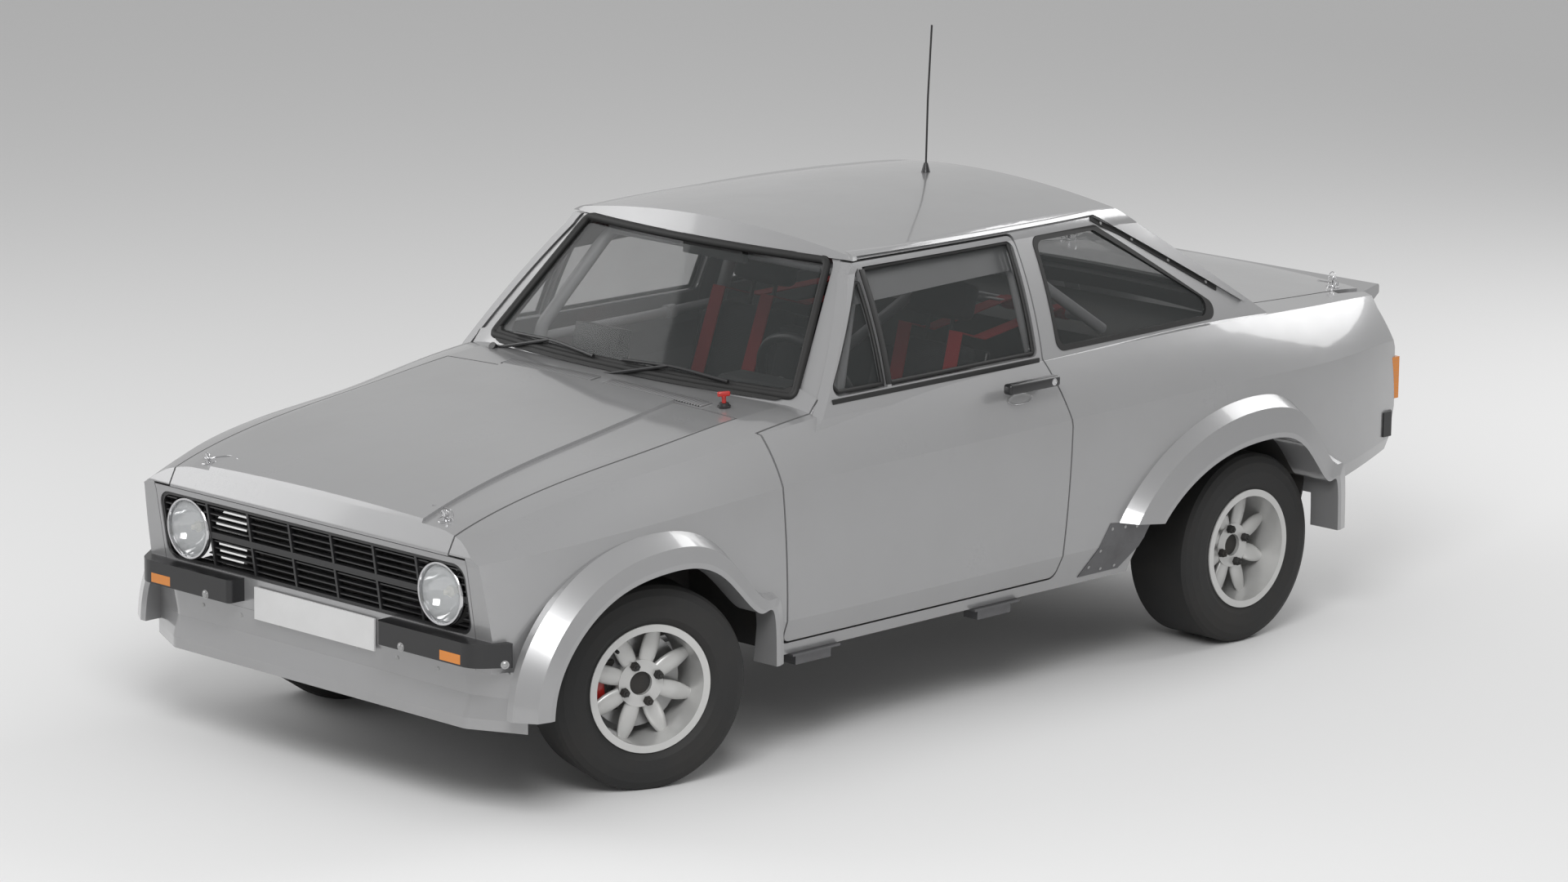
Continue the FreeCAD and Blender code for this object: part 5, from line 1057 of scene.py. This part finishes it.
@dataclass
class Rubbers:
    """Beads of black rubber round the screens and the doors' glass, and the black window dividers."""

    screen_half_foot: float = 0.622
    screen_half_head: float = 0.494
    screen_low: float = 0.966
    screen_high: float = 1.322
    back_half_foot: float = 0.565
    back_half_head: float = 0.470
    back_low: float = 1.008
    screen_plane: tuple[float, float, float, float] = (0.508, 0.952, 0.865, 2.746)
    back_plane: tuple[float, float, float, float] = (2.600, 0.985, -1.55, -3.4)
    bead: float = 0.0115

    def rounded(self, corners: Sequence[tuple[float, float]], reach: float) -> list[tuple[float, float]]:
        """A closed line with its corners cut by short steps.

        Args:
            corners: the outline's corners.
            reach: how far from a corner its rounding starts.

        Returns:
            The line's points.
        """
        line = []
        count = len(corners)
        for k in range(count):
            before, here, after = (Vector((*corners[(k + d) % count], 0)) for d in (-1, 0, 1))
            into = (before - here).normalized() * reach
            out = (after - here).normalized() * reach
            line += [here + into, here + into * 0.3, here + (into + out) * 0.12, here + out * 0.3, here + out]
            for share in (0.2, 0.4, 0.6, 0.8):
                line.append((here + out).lerp(after - (after - here).normalized() * reach, share))
        return [(p.x, p.y) for p in line]

    def screen(self, half_foot: float, half_head: float, low: float, high: float, foot_y: float,
               foot_z: float, slope: float, bow: float) -> Any:
        """A bead along a raked, bowed screen's edge.

        Args:
            half_foot: half its width at the foot.
            half_head: half its width at the head.
            low: its foot's height.
            high: its head's height.
            foot_y: the surface's place behind the front axle, in metres.
            foot_z: the height at which that holds.
            slope: how far it moves back for each metre up.
            bow: radius of its plan curve, negative when it bows rearwards.

        Returns:
            The bead.
        """
        edge = 0.011
        flat = self.rounded([(-half_foot + edge, low + edge), (half_foot - edge, low + edge),
                             (half_head - edge, high - edge), (-half_head + edge, high - edge)], 0.040)
        line = [(x, foot_y - AXLE + slope * (z - foot_z) + x * x / (2 * bow), z) for x, z in flat]
        return Bench.tidy(Bench.wire(line, self.bead, closed=True), 60)

    def pane(self, corners: Sequence[tuple[float, float]], reach: float) -> Any:
        """A bead round one pane of the left door, from its corners (rel y, z)."""
        line = []
        for y, z in self.rounded([(y / 1000, z) for y, z in corners], reach):
            place, normal = hit("door_glass_left", (2, y - AXLE, z), INWARDS)
            line.append(tuple(place + normal * 0.004))
        return Bench.tidy(Bench.wire(line, 0.0062, closed=True), 60)

    def bar(self) -> Any:
        """The black upright between the left door's two panes."""
        line = []
        for k in range(9):
            share = 0.02 + 0.96 * k / 8
            place, normal = beside("door_left", 873 + 34 * share, 0.984 + 0.314 * share)
            line.append(tuple(place + normal * 0.0008))
        return Bench.tidy(Bench.strap(line, (0, 1, -0.1), 0.0185, 0.004, 0.001))

    def build(self) -> None:
        """Builds the beads on the shell and on both doors."""
        front = self.screen(self.screen_half_foot, self.screen_half_head, self.screen_low, self.screen_high,
                            *self.screen_plane)
        rear = self.screen(self.back_half_foot, self.back_half_head, self.back_low, self.screen_high,
                           *self.back_plane)
        Bench.hand_over(front, "screen_bead", "car", "rubber", Kind.RUBBER)
        Bench.hand_over(rear, "rear_screen_bead", "car", "rubber", Kind.RUBBER)
        light = ((662.0, 1.014), (680.0, 0.993), (858.0, 0.992), (883.0, 1.255), (868.0, 1.255))
        main_pane = ((889.0, 0.991), (1490.0, 0.991), (1519.0, 1.290), (921.0, 1.290))
        pieces = [(self.pane(light, 0.006), "light_bead"), (self.pane(main_pane, 0.020), "pane_bead"),
                  (self.bar(), "window_bar")]
        for obj, name in pieces:
            Bench.pair(obj, name, "rubber", Kind.RUBBER, "door_left", "door_right")


@dataclass
class TailDress:
    """Blank rear plate."""

    plate_width: float = 0.52
    plate_height: float = 0.11

    def build(self) -> None:
        """Builds the plate on the tail."""
        place, normal = hit("body_shell", (0.0, 4.0, 0.655), (0, -1, 0))
        plate = Bench.block((self.plate_width, 0.004, self.plate_height), 0.0016, 2)
        tilt = Matrix.Rotation(math.asin(max(-0.5, min(0.5, normal.z))), 4, "X")
        plate = Bench.tidy(Bench.place(plate, Matrix.Translation(place + normal * 0.005) @ tilt))
        Bench.hand_over(plate, "rear_plate", "car", "plate", Kind.PLATE)


@dataclass
class Seats:
    """Bucket seats as padded cloth: cushion, side rolls, back and headrest."""

    x: float = 0.358
    foot_y: float = 1220.0
    foot_z: float = 0.410
    cushion_y: float = 850
    lean: float = 17.0

    def swell(self, obj: Any, cap: float) -> Any:
        """Blows a pad up with cloth and holds how far each point may move.

        Args:
            obj: the pad's plain form.
            cap: the furthest a point may move.

        Returns:
            The pad.
        """
        Bench.only(obj)
        self.blow(obj, cap)
        sub = obj.modifiers.new("round", "SUBSURF")
        sub.levels = sub.render_levels = 1
        bpy.ops.object.modifier_apply(modifier="round")
        return Bench.tidy(obj, 70)

    def blow(self, obj: Any, cap: float) -> None:
        """Runs the cloth on an active piece, no point moving further than the cap."""
        remesh = obj.modifiers.new("remesh", "REMESH")
        remesh.mode, remesh.voxel_size = "VOXEL", 0.010
        bpy.ops.object.modifier_apply(modifier="remesh")
        start = [v.co.copy() for v in obj.data.vertices]
        cloth = obj.modifiers.new("cloth", "CLOTH")
        cloth.settings.use_pressure = True
        cloth.settings.uniform_pressure_force = 4.0
        cloth.settings.effector_weights.gravity = 0.0
        scene = bpy.context.scene
        for frame_number in range(1, 21):
            scene.frame_set(frame_number)
        bpy.ops.object.modifier_apply(modifier="cloth")
        scene.frame_set(1)
        for vert, place in zip(obj.data.vertices, start):
            step = vert.co - place
            if step.length > cap:
                vert.co = place + step * (cap / step.length)

    def pad(self, size: Point, place: Point, lean: float = 0.0) -> Any:
        """One pad's plain form, slightly smaller than the space that it takes.

        Args:
            size: its three sizes.
            place: its centre.
            lean: turn about the axis across the car, in degrees.

        Returns:
            The form.
        """
        form = Bench.block(size, min(size) * 0.28, 3)
        return Bench.place(form, Matrix.Translation(place) @ Matrix.Rotation(math.radians(-lean), 4, "X"))

    def on_back(self, up: float, through: float) -> Point:
        """A place on the leaning back, from its foot."""
        a = math.radians(self.lean)
        return (self.x, row(self.foot_y) + math.sin(a) * up + math.cos(a) * through,
                self.foot_z + math.cos(a) * up - math.sin(a) * through)

    def build(self) -> None:
        """Builds one seat and mirrors its pads."""
        x, y = self.x, row(self.cushion_y)
        roll, aside = Vector(self.on_back(0.300, 0.052)), Vector((0.164, 0, 0))
        forms = {
            "cushion": self.pad((0.300, 0.440, 0.085), (x, y + 0.240, 0.420)),
            "cushion_roll_out": self.pad((0.070, 0.430, 0.105), (x + 0.180, y + 0.235, 0.432)),
            "cushion_roll_in": self.pad((0.070, 0.430, 0.105), (x - 0.180, y + 0.235, 0.432)),
            "back": self.pad((0.290, 0.070, 0.600), self.on_back(0.325, 0.052), self.lean),
            "back_roll_out": self.pad((0.070, 0.094, 0.560), tuple(roll + aside), self.lean),
            "back_roll_in": self.pad((0.070, 0.094, 0.560), tuple(roll - aside), self.lean),
            "headrest": self.pad((0.226, 0.062, 0.110), self.on_back(0.742, 0.043), self.lean),
        }
        for name, form in forms.items():
            pads = Bench.pair(self.swell(form, 0.009), f"seat_{name}", "seat", Kind.SEAT)
            for obj, side in zip(pads, ("left", "right")):
                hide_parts(f"seat_{side}")
        turned = Matrix.Rotation(math.radians(-self.lean), 4, "X")
        shell = Bench.block((0.340, 0.020, 0.600), 0.008, 3)
        shell = Bench.place(shell, Matrix.Translation(self.on_back(0.315, 0.098)) @ turned)
        post = Vector(self.on_back(0.665, 0.052))
        posts = [Bench.place(Bench.turn([(0.0065, -0.06), (0.0065, 0.05)], 16),
                             Matrix.Translation(post + Vector((dx, 0, 0))) @ turned)
                 for dx in (-0.045, 0.045)]
        rails = [Bench.place(Bench.block((0.030, 0.340, 0.060), 0.004, 2),
                             Matrix.Translation((x + dx, y + 0.24, 0.347))) for dx in (-0.13, 0.13)]
        shell = Bench.tidy(shell)
        metal = Bench.tidy(Bench.join(posts + rails))
        Bench.pair(shell, "seat_shell", "plastic", Kind.PLASTIC)
        Bench.pair(metal, "seat_metal", "iron", Kind.IRON)


@dataclass
class CageDress:
    """The right side's high door bar with its clamp, and the belts' wraps and adjusters."""

    bar_y: float = 1975.0
    bar_z: float = 1.003

    def build(self) -> None:
        """Builds the wraps, the adjusters and the right side's high bar."""
        wrap = Bench.turn([(0.0195, -0.026), (0.0205, -0.022), (0.0205, 0.022), (0.0195, 0.026),
                           (0.0165, 0.026), (0.0165, -0.026)], 28, closed=True)
        wrap = Bench.place(wrap, Matrix.Rotation(math.pi / 2, 4, "Y"))
        slide = Bench.block((0.060, 0.022, 0.006), 0.002, 2)
        slide = Bench.place(slide, Matrix.Translation((0, -0.075, 0.020)))
        wraps, slides = [], []
        for x in (0.177, 0.377):
            for sign in (1, -1):
                at = Matrix.Translation((sign * x, row(self.bar_y), self.bar_z))
                wraps.append(Bench.copy(wrap, at))
                slides.append(Bench.copy(slide, at))
        bpy.data.objects.remove(wrap)
        bpy.data.objects.remove(slide)
        Bench.hand_over(Bench.tidy(Bench.join(wraps)), "belt_wraps", "car", "belt", Kind.BELT)
        Bench.hand_over(Bench.tidy(Bench.join(slides)), "belt_adjusters", "car", "steel", Kind.STEEL)
        knee = (-0.620, row(1330), 0.946)
        run = [(-0.602, row(781), 0.945), knee, (-0.634, row(1558), 0.948)]
        bar = Bench.wire(run, 0.015, smooth=False, sides=4)
        clamp = Bench.turn([(0.0215, -0.016), (0.0215, 0.016), (0.0152, 0.016), (0.0152, -0.016)], 24,
                           closed=True)
        clamp = Bench.place(clamp, Matrix.Translation(knee) @ Matrix.Rotation(math.pi / 2, 4, "X"))
        Bench.hand_over(Bench.tidy(Bench.join([bar, clamp])), "high_door_bar", "car", "cage", Kind.CAGE)


@dataclass
class Cockpit:
    """Dials under their hood, the co-driver's box, the wheel's pad and the mirror's glass."""

    driver_x: float = 0.37
    wheel_z: float = 0.918
    wheel_lean: float = 24

    def build(self) -> None:
        """Builds the cabin's small parts."""
        hood = Bench.block((0.300, 0.110, 0.070), 0.018, 4)
        hood = Bench.tidy(Bench.place(hood, Matrix.Translation((self.driver_x, row(735), 0.940))))
        Bench.hand_over(hood, "dial_hood", "car", "plastic", Kind.DASH)
        dial = Bench.turn([(0.036, 0.0), (0.036, 0.004), (0.032, 0.004), (0.031, 0.001), (0.002, 0.001)], 32)
        aft = Matrix.Rotation(-math.pi / 2, 4, "X")
        dials = []
        for dx, scale in ((-0.082, 0.8), (0.0, 0.9), (0.082, 0.8)):
            at = Matrix.Translation((self.driver_x + dx, row(790), 0.940))
            dials.append(Bench.copy(dial, at @ aft @ Matrix.Scale(scale, 4)))
        bpy.data.objects.remove(dial)
        Bench.hand_over(Bench.tidy(Bench.join(dials)), "dials", "car", "steel", Kind.STEEL)
        box = Bench.block((0.180, 0.060, 0.095), 0.006, 3)
        stand = Bench.place(Bench.block((0.060, 0.040, 0.030), 0.004, 2), Matrix.Translation((0, 0, -0.055)))
        tilt = Matrix.Rotation(math.radians(-12), 4, "X")
        box = Bench.place(Bench.join([box, stand]), Matrix.Translation((-0.26, row(700), 0.992)) @ tilt)
        Bench.hand_over(Bench.tidy(box), "trip_box", "car", "plastic", Kind.PLASTIC)
        back, _ = hit("interior_mirror", (0.06, 1.0, 1.268), (0, -1, 0))
        glass = Bench.block((0.222, 0.0016, 0.046), 0.0007, 1)
        glass = Bench.place(glass, Matrix.Translation((0, back.y + 0.0004, 1.268)))
        Bench.hand_over(Bench.tidy(glass), "mirror_glass", "car", "glass", Kind.CHROME)
        pad = Bench.turn([(0.040, 0.000), (0.040, 0.006), (0.036, 0.010), (0.022, 0.012), (0.020, 0.015),
                          (0.004, 0.017)], 36)
        spot = Matrix.Translation((self.driver_x, row(905), self.wheel_z))
        spot = spot @ Matrix.Rotation(math.radians(self.wheel_lean), 4, "X")
        spot = spot @ Matrix.Translation((0, 0.013, 0)) @ aft
        pad = Bench.tidy(Bench.place(pad, spot))
        Bench.hand_over(pad, "wheel_pad", "steering_wheel", "plastic", Kind.PLASTIC)


@dataclass
class Studio:
    """Floor, soft lights and the camera of the photograph."""

    azimuth: float = 44.123
    elevation: float = 12.312
    roll: float = 0.653
    distance: float = 16.837515
    lens: float = 7053.754 * 36 / 1920
    target: Point = (0.0, -0.0375, 0.55)
    shift: tuple[float, float] = (-0.02439, 0.112483)

    def camera(self) -> None:
        """Places the camera at the photograph's viewpoint."""
        a, e, r = (math.radians(v) for v in (self.azimuth, self.elevation, self.roll))
        back = Vector((math.sin(a) * math.cos(e), -math.cos(a) * math.cos(e), math.sin(e)))
        right = Vector((0, 0, 1)).cross(back).normalized()
        up = back.cross(right)
        target = Vector(self.target) + right * self.shift[0] + Vector((0, 0, 1)) * self.shift[1]
        axis_x = right * math.cos(r) + up * math.sin(r)
        axis_y = up * math.cos(r) - right * math.sin(r)
        spot = target + back * self.distance
        data = bpy.data.cameras.new("photo_camera")
        data.lens, data.sensor_width, data.clip_end = self.lens, 36.0, 100.0
        camera = bpy.data.objects.new("photo_camera", data)
        camera.matrix_world = Matrix((
            (axis_x.x, axis_y.x, back.x, spot.x), (axis_x.y, axis_y.y, back.y, spot.y),
            (axis_x.z, axis_y.z, back.z, spot.z), (0, 0, 0, 1),
        ))
        bpy.context.collection.objects.link(camera)
        bpy.context.scene.camera = camera

    def lamp(self, name: str, place: Point, aim: Point, size: float, power: float) -> None:
        """Adds a soft area light.

        Args:
            name: its name.
            place: where it hangs.
            aim: what it points at.
            size: its side in metres.
            power: its watts.
        """
        data = bpy.data.lights.new(name, "AREA")
        data.size, data.energy = size, power
        obj = bpy.data.objects.new(name, data)
        obj.location = place
        obj.rotation_euler = (Vector(aim) - Vector(place)).to_track_quat("-Z", "Y").to_euler()
        bpy.context.collection.objects.link(obj)

    def floor(self) -> None:
        """A pale floor and a pale world behind it."""
        Bench.clear()
        bpy.ops.mesh.primitive_plane_add(size=60.0, location=(0, 0, 0))
        plane = bpy.context.object
        plane.name = "studio_floor"
        nodes = Nodes("floor_pale")
        surface = nodes.add("ShaderNodeBsdfPrincipled", None, Base_Color=(0.70, 0.70, 0.70), Roughness=0.8)
        nodes.add("ShaderNodeOutputMaterial", None, Surface=surface)
        plane.data.materials.append(nodes.material)
        world = bpy.data.worlds.new("studio")
        world.use_nodes = True
        bpy.context.scene.world = world
        tree = world.node_tree
        path = tree.nodes.new("ShaderNodeLightPath")
        seen = tree.nodes.new("ShaderNodeMath")
        seen.operation = "MAXIMUM"
        tree.links.new(path.outputs["Is Camera Ray"], seen.inputs[0])
        tree.links.new(path.outputs["Is Transmission Ray"], seen.inputs[1])
        blend = tree.nodes.new("ShaderNodeMix")
        tree.links.new(seen.outputs[0], blend.inputs[0])
        blend.inputs[2].default_value = 0.55
        blend.inputs[3].default_value = 0.95
        tree.links.new(blend.outputs[0], tree.nodes["Background"].inputs["Strength"])
        tree.nodes["Background"].inputs["Color"].default_value = (1.0, 1.0, 1.0, 1.0)

    def build(self) -> None:
        """Sets the studio up."""
        self.camera()
        self.floor()
        self.lamp("key", (4.5, -5.5, 6.0), (0, 0, 0.6), 3.5, 420)
        self.lamp("fill", (-6.0, -3.5, 4.0), (0, 0, 0.6), 5.0, 160)
        self.lamp("back", (1.0, 6.5, 5.0), (0, 0, 0.6), 4.5, 220)
        bpy.context.scene.view_settings.view_transform = "Standard"


def main() -> None:
    """Builds the studio, dresses the nodes and adds the fittings."""
    logging.basicConfig(level=logging.INFO, format="%(message)s")
    dress_nodes()
    for part in (Wheels, Headlamps, Pins, Bolts, KillSwitch, Louvres, DoorTrim, PillarStrips, Rubbers,
                 TailDress, Seats, CageDress, Cockpit):
        part().build()
    Studio().build()


if __name__ == "__main__":
    main()
